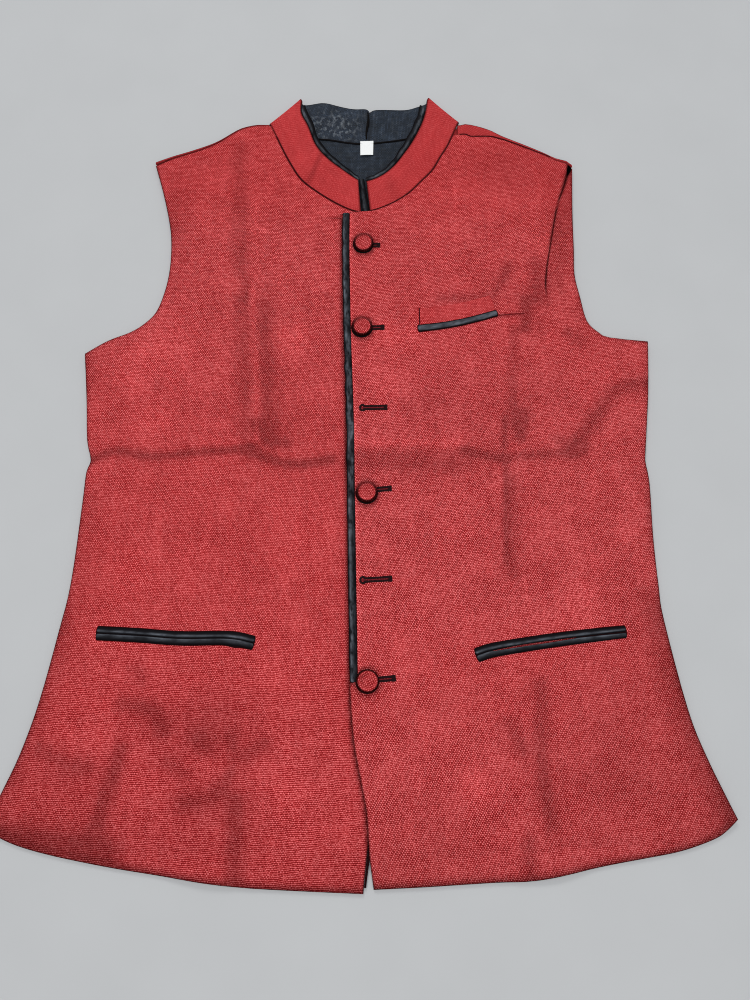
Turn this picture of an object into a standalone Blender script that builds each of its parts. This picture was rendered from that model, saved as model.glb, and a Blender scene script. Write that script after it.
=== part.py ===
"""Nehru jacket laid flat on its back, front up and collar towards +Y.

Every piece is a closed wall of cloth. Lengths are in millimetres until a mesh is made.
A key line is a curve that reads x from y, such as a side seam with its armhole.
A panel is lofted through sections, each running from its side line to its front line.
"""

import bpy
import bmesh
import numpy as np
from mathutils import Vector
from mathutils.bvhtree import BVHTree

MM = 0.001

# Walls and gaps
BACK_WALL = 2.2
FRONT_WALL = 2.2
COLLAR_WALL = 1.3
COLLAR_LINING_WALL = 1.0
NECK_LINING_WALL = 0.8
TAG_WALL = 0.5
FACING_WALL = 1.4
SEAM_GAP = 0.35
TRIM_GAP = 0.4          # between a panel and what lies on it
NECK_GAP = 0.6          # between a front and the collar, along x and y
SHOULDER_GAP = 0.9      # between a front and the back's roll

# Heights of a front's outer face
SIDE_HEIGHT = 4.8       # at the side seams, armholes and hem, over the back
BODY_RISE = 1.6         # gained within BODY_RISE_WIDTH of those edges
BODY_RISE_WIDTH = 26.0
CROWN_RISE = 1.2        # gained further in, across CROWN_WIDTH
CROWN_WIDTH = 95.0
HEM_DROP = 2.0          # where a front hangs past the back's hem, onto the table
HEM_DROP_WIDTH = 14.0
LAP_LIFT = 2.9          # of the top front where it lies on the under front
LAP_WIDTH = 28.0
LAP_CLEARANCE = 3.0     # how far past the under front's edge the full lift reaches
LAP_HEM_Y = -372.0      # the lift dies away from LAP_HEM_REACH above the hem
LAP_HEM_REACH = 26.0
SHOULDER_ROLL = 3.1     # radius of the back's roll over a shoulder
NECK_CORNER_DROP = 2.6  # of the back beside each neck point, clear of the folded collar
NECK_CORNER_WIDTH = 14.0
BACK_INSET = 0.6        # the back's side edges lie this far inside the fronts'
NECK_POINTS_X = (-96.5, 95.5)
ARM_FOLD_LIFT = 4.2     # of the tuck beside the right armhole
ARM_FOLD_LIP = 3.5
ARM_FOLD_SPREAD = 55.0
ARM_FOLD_SEAM_SHARE = 0.25      # of that lift, left where the shoulder seam holds the tuck down
ARM_FOLD_SEAM_REACH = 14.0

# Outlines as (x, y). The side lines run up from the hem, round the armhole, to the shoulder.
LEFT_SIDE = ((-313, -329.5), (-304, -306.5), (-291, -273.5), (-279, -229.5), (-268, -170),
             (-261.5, -127.5), (-258, -55.5), (-257, -26), (-254, -13.5), (-259, 6), (-263, 45),
             (-269, 93))
LEFT_ARMHOLE = ((-269, 93), (-248, 106.5), (-227, 115.5), (-214, 124.5), (-203, 137.5),
                (-196, 160.5), (-193, 182.5), (-193, 207.5), (-196, 232.5), (-205, 269.5),
                (-215, 302))
RIGHT_SIDE = ((313, -325.5), (306, -309.5), (292, -275.5), (280, -237.5), (266, -160.5),
              (264, -130.5), (263, -86.5), (264, -36.5), (262, -16), (262.5, -8), (266, 18.5),
              (271, 59.5), (274.5, 106))
RIGHT_ARMHOLE = ((274.5, 106), (238, 110), (228, 115), (217, 127.5), (212, 152.5), (208, 177.5),
                 (209, 205.5), (210, 242.5), (212, 280.5), (213, 298))
LEFT_HEM = ((-313, -329.5), (-300, -340), (-268, -350.5), (-214, -361.5), (-163, -368.5),
            (-119, -374.5), (-88, -377.5), (-46, -379.5), (-1, -381.5))
RIGHT_HEM = ((313, -325.5), (303, -333.5), (292, -340), (264, -349.5), (231, -356), (200, -361.5),
             (145, -371), (107, -372.5), (53, -375.5), (10, -377.5))
BACK_HEM = ((-311, -327.5), (-200, -337), (-80, -343), (0, -344.5), (80, -342.5), (200, -335),
            (311, -323.5))
LEFT_SHOULDER = ((-215, 305.5), (-198, 312.5), (-178, 319.5), (-154, 329.5), (-135, 342.5),
                 (-128, 346.5), (-120, 349), (-112, 350.5), (-99.5, 350.5))
RIGHT_SHOULDER = ((213, 301.5), (209, 306.5), (196, 310.5), (186, 316), (171, 323.5), (156, 330.5),
                  (141, 337.5), (131, 343.5), (118, 348.5), (105, 351.5), (99, 350))
# Seam between back and front on the outer face: how far it lies below the shoulder outline
LEFT_ROLL_DEPTH = ((-215, 3.4), (-99.5, 3.4))
RIGHT_ROLL_DEPTH = ((99, 13), (110, 16), (119, 13.2), (134, 7.5), (143, 5), (156, 4.4), (173, 4.4),
                    (196, 3.4), (213, 3.4))

# Back neckline, from neck point to neck point
BACK_NECKLINE = ((-96, 346), (-82, 340.5), (-60, 336), (-36, 333.5), (-16, 330), (0, 329),
                 (20, 331), (42, 334.5), (72, 341.5), (95, 349))

# The lining inside the back of the neck, down to below the front neckline
NECK_LINING_X = (-84, 80)
NECK_LINING_LOW_Y = 238.0
NECK_LINING_CURVE = 0.012       # its lower edge rises by this times x squared

# Front edges, from the hem up. The top front's edge steps in where the piping starts.
LEFT_EDGE = ((-1, -381.5), (0, -371), (3, -348), (9, -320), (15, -280), (19, -230), (20, -190),
             (20, 0), (20, 243.6))
RIGHT_EDGE_PLAIN = ((10, -377.5), (6.5, -357.5), (5, -340.5), (3, -318), (-1, -297.5),
                    (-7, -268), (-10, -240), (-11.5, -215.5))
PIPING_EDGE = ((-11.5, -214), (-13, -143.5), (-15, -52.5), (-16.5, 23.5), (-20, 115.5),
               (-22, 201.5), (-22, 243.6))
PIPING_WIDTH = 7.2
PIPING_HEIGHT = 2.8
# Section of the piping, as shares of its width and height
PIPING_SECTION = ((0, 0.2), (0.04, 0.6), (0.2, 0.95), (0.5, 1.0), (0.8, 0.95), (1, 0.65),
                  (1, 0.1), (0.5, 0))
FACING_Y = (-378, -318)         # the facing shows between these heights
FACING_WIDTHS = (3.4, 2.0)      # above and at the hem
FACING_DROP = 0.5               # of each edge below the one beside it

# Lines that creases follow, used as columns of the panels
LEFT_CREASE = ((-91, -376), (-95, -143), (-98, -9), (-103, 44), (-109, 147), (-116, 258),
               (-126, 345))
RIGHT_CREASE = ((130, -371), (135, -229.5), (132, -143.5), (145, -5.5), (160, 130.5), (163, 196.5),
                (150, 327))
ARM_FOLD = ((233, -356), (222, -300), (205, -143), (200, 0), (186, 100), (178, 146.5),
            (178, 174.5), (185, 213.5), (193, 250.5), (204, 284), (208, 301.5))
LIP_SHARE = 0.65        # how near the side line the tuck's lip may come, as a share of the way
ARM_FOLD_END = 146.5    # y at which the tuck has died away
ARM_FOLD_FULL = 235.0   # y from which it has its full height

UNDERARM_Y = 93.0
HEM_REACH = 90.0        # how far above the hem the rows are still bent like it
SEAM_REACH = 60.0       # how far below the shoulder seam

# Sections of a front up to its neckline: the height at which each meets its side line and its
# front line, and the number of rows up to the next section
LEFT_SECTIONS = ((-329.5, -381.5, 7), (-229.5, -260, 6), (-26, -26, 1), (-13.5, -13.5, 1),
                 (6, 5, 4), (93, 93, 4), (124.5, 130, 3), (182.5, 205, 2), (210, 243.6, 0))
RIGHT_SECTIONS = ((-325.5, -377.5, 5), (-237.5, -262, 2), (-205, -215.5, 1), (-203, -213.5, 5),
                  (-21, -21, 1), (-8, -8, 1), (8, 6, 4), (106, 106, 4), (127.5, 135, 3),
                  (182.5, 205, 2), (210, 243.6, 0))
NECK_ROWS_SIDE_Y = 210.0        # where the row at the neckline's low end meets the side line
LEFT_SHOULDER_TIP_Y = 301.2
RIGHT_SHOULDER_TIP_Y = 297.2
LEFT_SEAM_X = (-215, -97)       # shoulder seams, from the armhole to the neck
RIGHT_SEAM_X = (213, 93.5)
BACK_SECTIONS = ((-327.5, -323.5, 3), (-229.5, -229.5, 3), (-26, -21, 1), (-13.5, -8, 1),
                 (6, 8, 1), (93, 106, 3), (124.5, 127.5, 3), (207.5, 205.5, 3), (302, 298, 0))
# Columns of the back along its upper edge: left shoulder, neckline, right shoulder
BACK_COLUMNS = (-214.4, -206, -198, -188, -178, -166, -154, -144, -135, -128, -120, -112, -99.5,
                -93, -73, -52, -32, -11, 10, 30, 51, 71, 91,
                99, 105, 110, 118, 126, 134, 143, 156, 171, 186, 196, 204, 209, 212.4)

# Relief of the fronts: crease lines as (x, y), half width and height
CREASES = (
    ("left packing crease", ((-91, -376), (-95, -143), (-98, -9), (-103, 44), (-109, 147),
                             (-116, 258), (-122, 320)), 9.0, 1.5),
    ("right packing crease", ((130, -371), (135, -229.5), (132, -143.5), (145, -5.5),
                              (160, 130.5), (163, 190)), 9.0, 1.2),
    ("waist fold", ((-257, -16), (-198, -13), (-95, -10), (20, -11), (176, -7), (190, 2),
                    (212, 23), (237, 54), (268, 62)), 8.0, -1.1),
)
# Broad swells: centre x, y, radii along x and y, height
SWELLS = (
    (-170, 60, 60, 90, 0.9),
    (-60, 130, 45, 80, 0.7),
    (90, 60, 55, 70, 0.8),
    (215, -60, 40, 70, 0.9),
    (-185, -250, 60, 60, 0.8),
    (75, -250, 50, 80, 0.7),
    (-130, -372, 45, 30, 2.2),
    (158, -366, 38, 28, 2.0),
    (120, 250, 45, 60, 0.8),
    (-150, 240, 35, 60, 0.8),
)

# Collar: each section runs from the neck seam to the free edge, lifted at that edge
LEFT_COLLAR = (
    # seam_x, seam_y, edge_x, edge_y, edge_lift
    (-3.5, 245.5, -6.5, 281.5, 2.5),
    (-13, 247.5, -11, 284, 3.0),
    (-29, 255.5, -23, 293, 4.0),
    (-48, 268.5, -37, 304, 5.5),
    (-65, 283.5, -50, 320, 6.5),
    (-78, 305.5, -58, 342, 7.0),
    (-85, 320, -65, 356, 7.0),
    (-91, 333.5, -66, 368, 6.5),
)
BACK_COLLAR = (
    (-82, 340.5, -57, 376.5, 0.0),
    (-60, 336, -43, 378.5, 0.5),
    (-36, 333.5, -28, 374, 0.8),
    (-16, 330, -12, 370.5, 0.5),
    (0, 329, 1.5, 370.5, 0.8),
    (5, 329.5, 5, 366.5, 0.0),
    (11, 330, 10, 368.5, 1.8),
    (28, 332, 26, 369.5, 0.8),
    (46, 335.2, 44, 369.5, 0.5),
    (72, 341.5, 58, 375, 0.0),
)
RIGHT_COLLAR = (
    (91, 337.5, 64, 368, 6.5),
    (85, 323.5, 61, 353, 7.0),
    (78, 311.5, 56, 339, 7.0),
    (69, 295, 48, 322.5, 6.5),
    (58, 282.5, 40, 310.5, 5.5),
    (44, 267.5, 31, 298, 4.5),
    (29, 255.5, 20, 288, 3.5),
    (16, 249, 10, 282.5, 3.0),
    (5.5, 245.5, 1.8, 280, 2.5),
)
LEFT_FOLD = ((-96, 346), (-66, 379.5))      # neck point and peak of the folded collar
RIGHT_FOLD = ((95, 349), (66, 381))
FOLD_LIFT = 6.0         # of the collar's edge at the peaks
COLLAR_BULGE = 0.8      # of the collar's front halves, between seam and edge
COLLAR_BACK_Z = 1.9     # between collar and lining, on the table behind the neck
COLLAR_FRONT_Z = 5.2    # the same at the neck seam of a front
COLLAR_PIPING_WIDTH = 4.6
COLLAR_PIPING_HEIGHT = 2.6
COLLAR_END_STRIP = ((-3, 281.5, 5.6), (-1.5, 268, 5.8), (0.6, 250, 6.6), (1.1, 245.2, 6.8))

# Pockets: upper edge of the mouth as (x, y), and the depth of the strip below it
CHEST_MOUTH = ((53, 121), (73, 123.5), (93, 127), (112, 132), (127, 136.5))
CHEST_PIPING_WIDTH = 6.4
CHEST_WELT_WIDTH = 17.0
LEFT_POCKET = ((-232, -167), (-195, -169), (-160, -171.5), (-116, -171.5), (-95, -175.5))
RIGHT_POCKET = ((98, -186), (111, -182), (137, -177.5), (172, -172.5), (208, -168.5), (229, -166.5))
CHEST_PIPING_HEIGHT = 1.4
CHEST_WELT_HEIGHT = 0.9
JET_HEIGHT = 1.1
JET_WIDTH = 5.2
RIGHT_JET_END_WIDTH = 3.6
STRIP_STEP = 9.0        # spacing of the sections along a strip
# Section of a strip, as shares of its width and height
STRIP_SECTION = ((0, 0), (0, 0.55), (0.2, 1), (0.5, 1.12), (0.8, 1), (1, 0.55), (1, 0), (0.5, 0))

BUTTON_RADIUS = 10.0
BUTTON_HEIGHT = 5.6
BUTTON_SIDES = 16
BUTTONS = (("button_1", -1, 207.5), ("button_2", -2, 117.5), ("button_4", 3, -46.5),
           ("button_6", 4, -213.5))
# Outline of a button, as shares of its radius and height
BUTTON_PROFILE = ((0.55, 0.0), (0.9, 0.12), (1.0, 0.34), (0.97, 0.55), (0.8, 0.82), (0.5, 0.96))

TAG_LIFT = 0.8          # of its free end
TAG = ((-5, 329.5), (9, 330.2), (8.8, 312.5), (-4.8, 312))

RED = ("red slub weave", (0.42, 0.045, 0.05), 0.85)
SATIN = ("black satin", (0.015, 0.016, 0.018), 0.4)
SLATE = ("slate lining", (0.03, 0.035, 0.045), 0.8)
COVERED = ("covered button", (0.30, 0.035, 0.04), 0.7)
WHITE = ("white tag", (0.85, 0.85, 0.84), 0.6)


# Curves

def smooth(points, steps=4):
    """A Catmull-Rom curve through the points, as an array of points."""
    knots = np.array(points, float)
    before = 2 * knots[0] - knots[1]
    after = 2 * knots[-1] - knots[-2]
    knots = np.vstack([before, knots, after])
    curve = []
    for a, b, c, d in zip(knots, knots[1:], knots[2:], knots[3:]):
        for t in np.arange(steps) / steps:
            curve.append(0.5 * (2 * b + (c - a) * t + (2 * a - 5 * b + 4 * c - d) * t ** 2
                                + (3 * b - a - 3 * c + d) * t ** 3))
    curve.append(knots[-2])
    return np.array(curve)


def joined(*runs):
    """Smooth runs that meet at corners, as one line."""
    return np.vstack([smooth(run) for run in runs])


def x_of(line, y):
    return np.interp(y, line[:, 1], line[:, 0])


def y_of(line, x):
    order = np.argsort(line[:, 0])
    return np.interp(x, line[order, 0], line[order, 1])


def ease(t):
    t = np.clip(t, 0.0, 1.0)
    return t * t * (3 - 2 * t)


def distance(x, y, line):
    """Distance in plan from each point to a line of points."""
    nearest = np.full(np.shape(x), np.inf)
    for (ax, ay), (bx, by) in zip(line, line[1:]):
        dx, dy = bx - ax, by - ay
        along = np.clip(((x - ax) * dx + (y - ay) * dy) / (dx * dx + dy * dy + 1e-9), 0, 1)
        nearest = np.minimum(nearest, np.hypot(x - ax - along * dx, y - ay - along * dy))
    return nearest


def resampled(points, count):
    """Evenly spaced points along the smooth curve through the points."""
    curve = smooth(points)
    run = np.concatenate([[0], np.cumsum(np.linalg.norm(np.diff(curve, axis=0), axis=1))])
    stops = np.linspace(0, run[-1], count)
    return np.column_stack([np.interp(stops, run, curve[:, k]) for k in range(curve.shape[1])])


LEFT_OUTLINE = joined(LEFT_SIDE, LEFT_ARMHOLE)
RIGHT_OUTLINE = joined(RIGHT_SIDE, RIGHT_ARMHOLE)
EDGES = (LEFT_OUTLINE, RIGHT_OUTLINE, smooth(LEFT_HEM), smooth(RIGHT_HEM))


# Heights

def body_height(x, y):
    """Outer face of the fronts, before one laps over the other."""
    inside = np.min([distance(x, y, edge) for edge in EDGES], axis=0)
    z = SIDE_HEIGHT + BODY_RISE * ease(inside / BODY_RISE_WIDTH)
    z = z + CROWN_RISE * ease((inside - BODY_RISE_WIDTH) / CROWN_WIDTH)
    past_hem = y_of(smooth(BACK_HEM), x) - TRIM_GAP - BACK_INSET - y
    z = z - HEM_DROP * ease(past_hem / HEM_DROP_WIDTH)
    room = ease(inside / BODY_RISE_WIDTH)
    for _, line, half_width, height in CREASES:
        z = z + room * height * (1 - ease(distance(x, y, smooth(line)) / half_width))
    for centre_x, centre_y, radius_x, radius_y, height in SWELLS:
        out = np.hypot((x - centre_x) / radius_x, (y - centre_y) / radius_y)
        z = z + height * (1 - ease(out))
    return z


def lap_lift(x, y):
    """How far the top front is lifted by the under front beneath it."""
    reach = (x - x_of(smooth(LEFT_EDGE), y) - LAP_CLEARANCE) / LAP_WIDTH
    above_hem = ease((y - LAP_HEM_Y) / LAP_HEM_REACH)
    return LAP_LIFT * (1 - ease(reach)) * above_hem


def arm_fold_lift(x, y):
    """The tuck beside the right armhole, high on its inner side and dying away downwards."""
    fold_x = x_of(smooth(ARM_FOLD), y)
    tall = ease((y - ARM_FOLD_END) / (ARM_FOLD_FULL - ARM_FOLD_END))
    from_seam = (shoulder_seam(RIGHT_SHOULDER, RIGHT_ROLL_DEPTH, x) - y) / ARM_FOLD_SEAM_REACH
    held_down = ARM_FOLD_SEAM_SHARE + (1 - ARM_FOLD_SEAM_SHARE) * ease(from_seam)
    inner = 1 - ease((fold_x - x) / ARM_FOLD_SPREAD)
    outer = 1 - ease((x - fold_x) / ARM_FOLD_LIP)
    return ARM_FOLD_LIFT * tall * held_down * np.where(x < fold_x, inner, outer)


def right_height(x, y):
    return body_height(x, y) + lap_lift(x, y) + arm_fold_lift(x, y)


def shoulder_seam(shoulder, roll_depth, x):
    """y of the shoulder seam on the outer face."""
    depth = np.array(roll_depth, float)
    return y_of(smooth(shoulder), x) - np.interp(x, depth[:, 0], depth[:, 1])


# Meshes

def material(look):
    name, colour, roughness = look
    found = bpy.data.materials.get(name)
    if found:
        return found
    made = bpy.data.materials.new(name)
    made.use_nodes = True
    shader = made.node_tree.nodes["Principled BSDF"]
    shader.inputs["Base Color"].default_value = (*colour, 1)
    shader.inputs["Roughness"].default_value = roughness
    shader.inputs["Metallic"].default_value = 0
    return made


def solid(name, points, faces, look):
    """A closed body from points in millimetres, facing outwards."""
    mesh = bpy.data.meshes.new(name)
    mesh.from_pydata([Vector(p) * MM for p in points], [], faces)
    body = bmesh.new()
    body.from_mesh(mesh)
    bmesh.ops.triangulate(body, faces=body.faces)
    bmesh.ops.recalc_face_normals(body, faces=body.faces)
    body.to_mesh(mesh)
    body.free()
    mesh.materials.append(material(look))
    obj = bpy.data.objects.new(name, mesh)
    bpy.context.scene.collection.objects.link(obj)
    return obj


def wall(name, outer, inner, look):
    """A wall between two grids of points with the same rows and columns."""
    rows, columns = outer.shape[:2]
    points = np.vstack([outer.reshape(-1, 3), inner.reshape(-1, 3)])
    grid = np.arange(rows * columns).reshape(rows, columns)
    under = grid + rows * columns
    faces = []
    for i in range(rows - 1):
        for j in range(columns - 1):
            faces.append((grid[i, j], grid[i, j + 1], grid[i + 1, j + 1], grid[i + 1, j]))
            faces.append((under[i, j], under[i + 1, j], under[i + 1, j + 1], under[i, j + 1]))
    rim = np.concatenate([np.arange(columns), np.arange(1, rows) * columns + columns - 1,
                          (rows - 1) * columns + np.arange(columns - 2, -1, -1),
                          np.arange(rows - 2, 0, -1) * columns])
    for a, b in zip(rim, np.roll(rim, -1)):
        faces.append((a, b, b + rows * columns, a + rows * columns))
    return solid(name, points.tolist(), [[int(k) for k in face] for face in faces], look)


def loft(name, rings, look):
    """A closed body through rings of the same number of points, capped at both ends."""
    rings = np.array(rings, float)
    count, sides = rings.shape[:2]
    faces = [tuple(range(sides)), tuple((count - 1) * sides + k for k in range(sides))]
    for i in range(count - 1):
        for k in range(sides):
            after = (k + 1) % sides
            faces.append((i * sides + k, i * sides + after, (i + 1) * sides + after,
                          (i + 1) * sides + k))
    return solid(name, rings.reshape(-1, 3).tolist(), faces, look)


class Face:
    """The faceted outer face of a panel, for what lies on it."""

    def __init__(self, grid):
        rows, columns = grid.shape[:2]
        faces = []
        for i in range(rows - 1):
            for j in range(columns - 1):
                a = i * columns + j
                faces.append((a, a + 1, a + columns + 1))
                faces.append((a, a + columns + 1, a + columns))
        self.tree = BVHTree.FromPolygons([Vector(p) for p in grid.reshape(-1, 3)], faces)

    def z(self, x, y, otherwise):
        hit = self.tree.ray_cast(Vector((x, y, 100)), Vector((0, 0, -1)))[0]
        return hit.z if hit else otherwise


# Panels

def section_rows(sections):
    """(side y, front y) of every row, from the sections and the number of rows between them."""
    rows = []
    for (side, front, count), (next_side, next_front, _) in zip(sections, sections[1:]):
        for k in range(count):
            share = k / count
            rows.append((side + (next_side - side) * share, front + (next_front - front) * share))
    rows.append(sections[-1][:2])
    return np.array(rows, float)


def columns_between(lines, counts):
    """Positions across a row: evenly spaced between one key line and the next."""
    across = [np.linspace(a, b, count, endpoint=False)
              for a, b, count in zip(lines, lines[1:], counts)]
    return np.concatenate(across + [[lines[-1]]])


def bend(curve, side_x, front_x, share):
    """How far a curved edge leaves its chord, at a share of the way from side to front."""
    xs = side_x + (front_x - side_x) * share
    ends = y_of(curve, np.array([side_x, front_x]))
    return y_of(curve, xs) - (ends[0] + (ends[1] - ends[0]) * share)


def front_plan(rows, side, front, key_lines, counts, hem, shoulder):
    """Rows of (x, y) across a front, bent like its hem and its shoulder near them."""
    hem_y, seam_y = rows[0, 0], rows[-1, 0]
    plan = []
    for side_y, front_y in rows:
        side_x, front_x = x_of(side, side_y), x_of(front, front_y)
        middle = (side_y + front_y) / 2
        lines = [side_x] + [line(middle, side_x) for line in key_lines] + [front_x]
        xs = columns_between(lines, counts)
        share = (xs - side_x) / (front_x - side_x)
        ys = side_y + (front_y - side_y) * share
        ys = ys + bend(hem, hem[0, 0], hem[-1, 0], share) * (1 - ease((side_y - hem_y) / HEM_REACH))
        ys = ys + bend(shoulder, shoulder[0, 0], shoulder[-1, 0], share) * (
            1 - ease((seam_y - side_y) / SEAM_REACH))
        plan.append(np.column_stack([xs, ys]))
    return np.array(plan)


def raised(plan, height):
    """A plan of rows lifted to the height that each point has."""
    return np.dstack([plan, height(plan[:, :, 0], plan[:, :, 1])])


def neck_seam(collar, side):
    """The front's side of the neck seam, a gap away from the collar's own sections."""
    return np.array([(row[0] + side * NECK_GAP, row[1] - NECK_GAP) for row in refined(collar, 2)])


def seam_line(shoulder, roll_depth, first_x, last_x, count=24):
    """The front's side of the shoulder seam."""
    xs = np.linspace(first_x, last_x, count)
    return np.column_stack([xs, shoulder_seam(shoulder, roll_depth, xs) - SHOULDER_GAP])


def neck_rows(tip_y, neck, seam):
    """Rows from the neckline's low end to the shoulder, one at each collar section."""
    front = np.append(neck[:, 1], seam[-1, 1])
    side = NECK_ROWS_SIDE_Y + (tip_y - NECK_ROWS_SIDE_Y) * (np.arange(len(front)) + 1) / len(front)
    return np.column_stack([side, front])


def make_front_left():
    neck = neck_seam(LEFT_COLLAR, -1)
    seam = seam_line(LEFT_SHOULDER, LEFT_ROLL_DEPTH, *LEFT_SEAM_X)
    front = np.vstack([smooth(LEFT_EDGE), neck, seam[-1:]])
    rows = np.vstack([section_rows(LEFT_SECTIONS), neck_rows(LEFT_SHOULDER_TIP_Y, neck, seam)])
    crease = smooth(LEFT_CREASE)
    plan = front_plan(rows, LEFT_OUTLINE, front, [lambda y, side: x_of(crease, y)], (9, 8),
                      smooth(LEFT_HEM), seam)
    outer = raised(plan, body_height)
    wall("front_left", outer, outer - (0, 0, FRONT_WALL), RED)
    return outer


def make_front_right():
    neck = neck_seam(RIGHT_COLLAR[::-1], 1)
    seam = seam_line(RIGHT_SHOULDER, RIGHT_ROLL_DEPTH, *RIGHT_SEAM_X)
    piped = [(x + PIPING_WIDTH + SEAM_GAP, y) for x, y in PIPING_EDGE]
    front = np.vstack([joined(RIGHT_EDGE_PLAIN, piped), neck[:-1], seam[-1:]])
    rows = np.vstack([section_rows(RIGHT_SECTIONS),
                      neck_rows(RIGHT_SHOULDER_TIP_Y, neck[:-1], seam)])
    crease, fold = smooth(RIGHT_CREASE), smooth(ARM_FOLD)

    def lip(y, side):
        return min(x_of(fold, y) + ARM_FOLD_LIP, LIP_SHARE * side + (1 - LIP_SHARE) * x_of(fold, y))

    key_lines = [lip, lambda y, side: x_of(fold, y), lambda y, side: x_of(crease, y)]
    plan = front_plan(rows, RIGHT_OUTLINE, front, key_lines, (3, 1, 5, 9), smooth(RIGHT_HEM), seam)
    outer = raised(plan, right_height)
    wall("front_right", outer, outer - (0, 0, FRONT_WALL), RED)
    return outer


def back_top(x):
    """Upper edge of the back: shoulder, neckline, shoulder."""
    corner = np.minimum(x - BACK_NECKLINE[0][0], BACK_NECKLINE[-1][0] - x) / NECK_CORNER_WIDTH
    neck = y_of(smooth(BACK_NECKLINE), x) - NECK_GAP - NECK_CORNER_DROP * (1 - ease(corner))
    left = y_of(smooth(LEFT_SHOULDER), x) - SHOULDER_ROLL
    right = y_of(smooth(RIGHT_SHOULDER), x) - SHOULDER_ROLL
    return np.where(x < NECK_POINTS_X[0], left, np.where(x > NECK_POINTS_X[1], right, neck))


def back_plan():
    """Rows of (x, y) across the back, bent like its hem and its top edge near them."""
    xs_top = np.array(BACK_COLUMNS, float)
    share = (xs_top - xs_top[0]) / (xs_top[-1] - xs_top[0])
    top = back_top(xs_top)
    top_bend = top - (top[0] * (1 - share) + top[-1] * share)
    hem = smooth(BACK_HEM)
    hem_bend = bend(hem, hem[0, 0], hem[-1, 0], share)
    rows = section_rows(BACK_SECTIONS)
    plan = []
    for left_y, right_y in rows:
        left_x = x_of(LEFT_OUTLINE, left_y) + BACK_INSET
        right_x = x_of(RIGHT_OUTLINE, right_y) - BACK_INSET
        at_hem = 1 - ease((left_y - rows[0, 0]) / HEM_REACH)
        at_top = max(0.0, (left_y - UNDERARM_Y) / (rows[-1, 0] - UNDERARM_Y)) ** 2
        ys = left_y + (right_y - left_y) * share + hem_bend * at_hem + top_bend * at_top
        plan.append(np.column_stack([left_x + (right_x - left_x) * share, ys]))
    plan[-1] = np.column_stack([xs_top, top])
    return np.array(plan)


def roll(outline_y, seam_y, steps=5):
    """(y, z) of the outer and inner faces of a shoulder's roll, from the table up to the seam."""
    inner_radius = SHOULDER_ROLL - BACK_WALL
    centre_y = outline_y - SHOULDER_ROLL
    turn = np.radians(np.linspace(-90, 90, steps))
    outer = [(centre_y + SHOULDER_ROLL * np.cos(a), SHOULDER_ROLL * (1 + np.sin(a))) for a in turn]
    inner = [(centre_y + inner_radius * np.cos(a), SHOULDER_ROLL + inner_radius * np.sin(a))
             for a in turn]
    end = min(seam_y, centre_y - 0.2)
    outer.append((end, 2 * SHOULDER_ROLL))
    inner.append((end, SHOULDER_ROLL + inner_radius))
    return outer, inner


def make_back():
    """The back lies flat. Over each shoulder it rolls up to meet the front."""
    plan = back_plan()
    rows, columns = plan.shape[:2]
    xs = plan[-1, :, 0]
    low, high = 0, rows * columns
    points = [(x, y, 0.0) for x, y in plan.reshape(-1, 2)]
    points += [(x, y, BACK_WALL) for x, y in plan.reshape(-1, 2)]
    faces = []
    for i in range(rows - 1):
        for base in (low, high):
            for j in range(columns - 1):
                a, b = base + i * columns + j, base + (i + 1) * columns + j
                faces.append((a, a + 1, b + 1, b))
        for j in (0, columns - 1):
            a, b = i * columns + j, (i + 1) * columns + j
            faces.append((a, b, b + high, a + high))
    faces += [(j, j + 1, j + 1 + high, j + high) for j in range(columns - 1)]

    # The top row: a neckline edge, or the paths of the roll's two faces
    top = (rows - 1) * columns
    rolled = [j for j in range(columns - 1)
              if xs[j + 1] < NECK_POINTS_X[0] or xs[j] > NECK_POINTS_X[1]]
    paths = {}
    for j in sorted({k for j in rolled for k in (j, j + 1)}):
        shoulder, depth = ((LEFT_SHOULDER, LEFT_ROLL_DEPTH) if xs[j] < 0
                           else (RIGHT_SHOULDER, RIGHT_ROLL_DEPTH))
        runs = roll(plan[-1, j, 1] + SHOULDER_ROLL, shoulder_seam(shoulder, depth, xs[j]))
        paths[j] = []
        for start, run in zip((low, high), runs):
            paths[j].append([start + top + j] + list(range(len(points), len(points) + len(run) - 1)))
            points += [(xs[j], y, z) for y, z in run[1:]]
    for j in range(columns - 1):
        if j not in rolled:
            faces.append((top + j, top + j + 1, top + j + 1 + high, top + j + high))
            continue
        for here, there in zip(paths[j], paths[j + 1]):
            faces += [(here[k], there[k], there[k + 1], here[k + 1]) for k in range(len(here) - 1)]
        (outer, inner), (next_outer, next_inner) = paths[j], paths[j + 1]
        faces.append((outer[-1], next_outer[-1], next_inner[-1], inner[-1]))
    last_left = max(k for k in rolled if xs[k] < 0) + 1
    first_right = min(k for k in rolled if xs[k] > 0)
    for j in (0, last_left, first_right, columns - 1):
        outer, inner = paths[j]
        faces += [(outer[k], outer[k + 1], inner[k + 1], inner[k]) for k in range(len(outer) - 1)]
    solid("back", points, faces, RED)


def make_back_lining():
    """The inside of the back, where the neck shows it."""
    base = BACK_WALL + SEAM_GAP
    rows = []
    for x in np.linspace(*NECK_LINING_X, 15):
        top = y_of(smooth(BACK_NECKLINE), x) - NECK_GAP - BACK_INSET
        low = NECK_LINING_LOW_Y + NECK_LINING_CURVE * x * x
        rows.append([(x, y, base + NECK_LINING_WALL) for y in np.linspace(low, top, 7)])
    outer = np.array(rows)
    wall("back_lining", outer, outer - (0, 0, NECK_LINING_WALL), SLATE)


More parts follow.
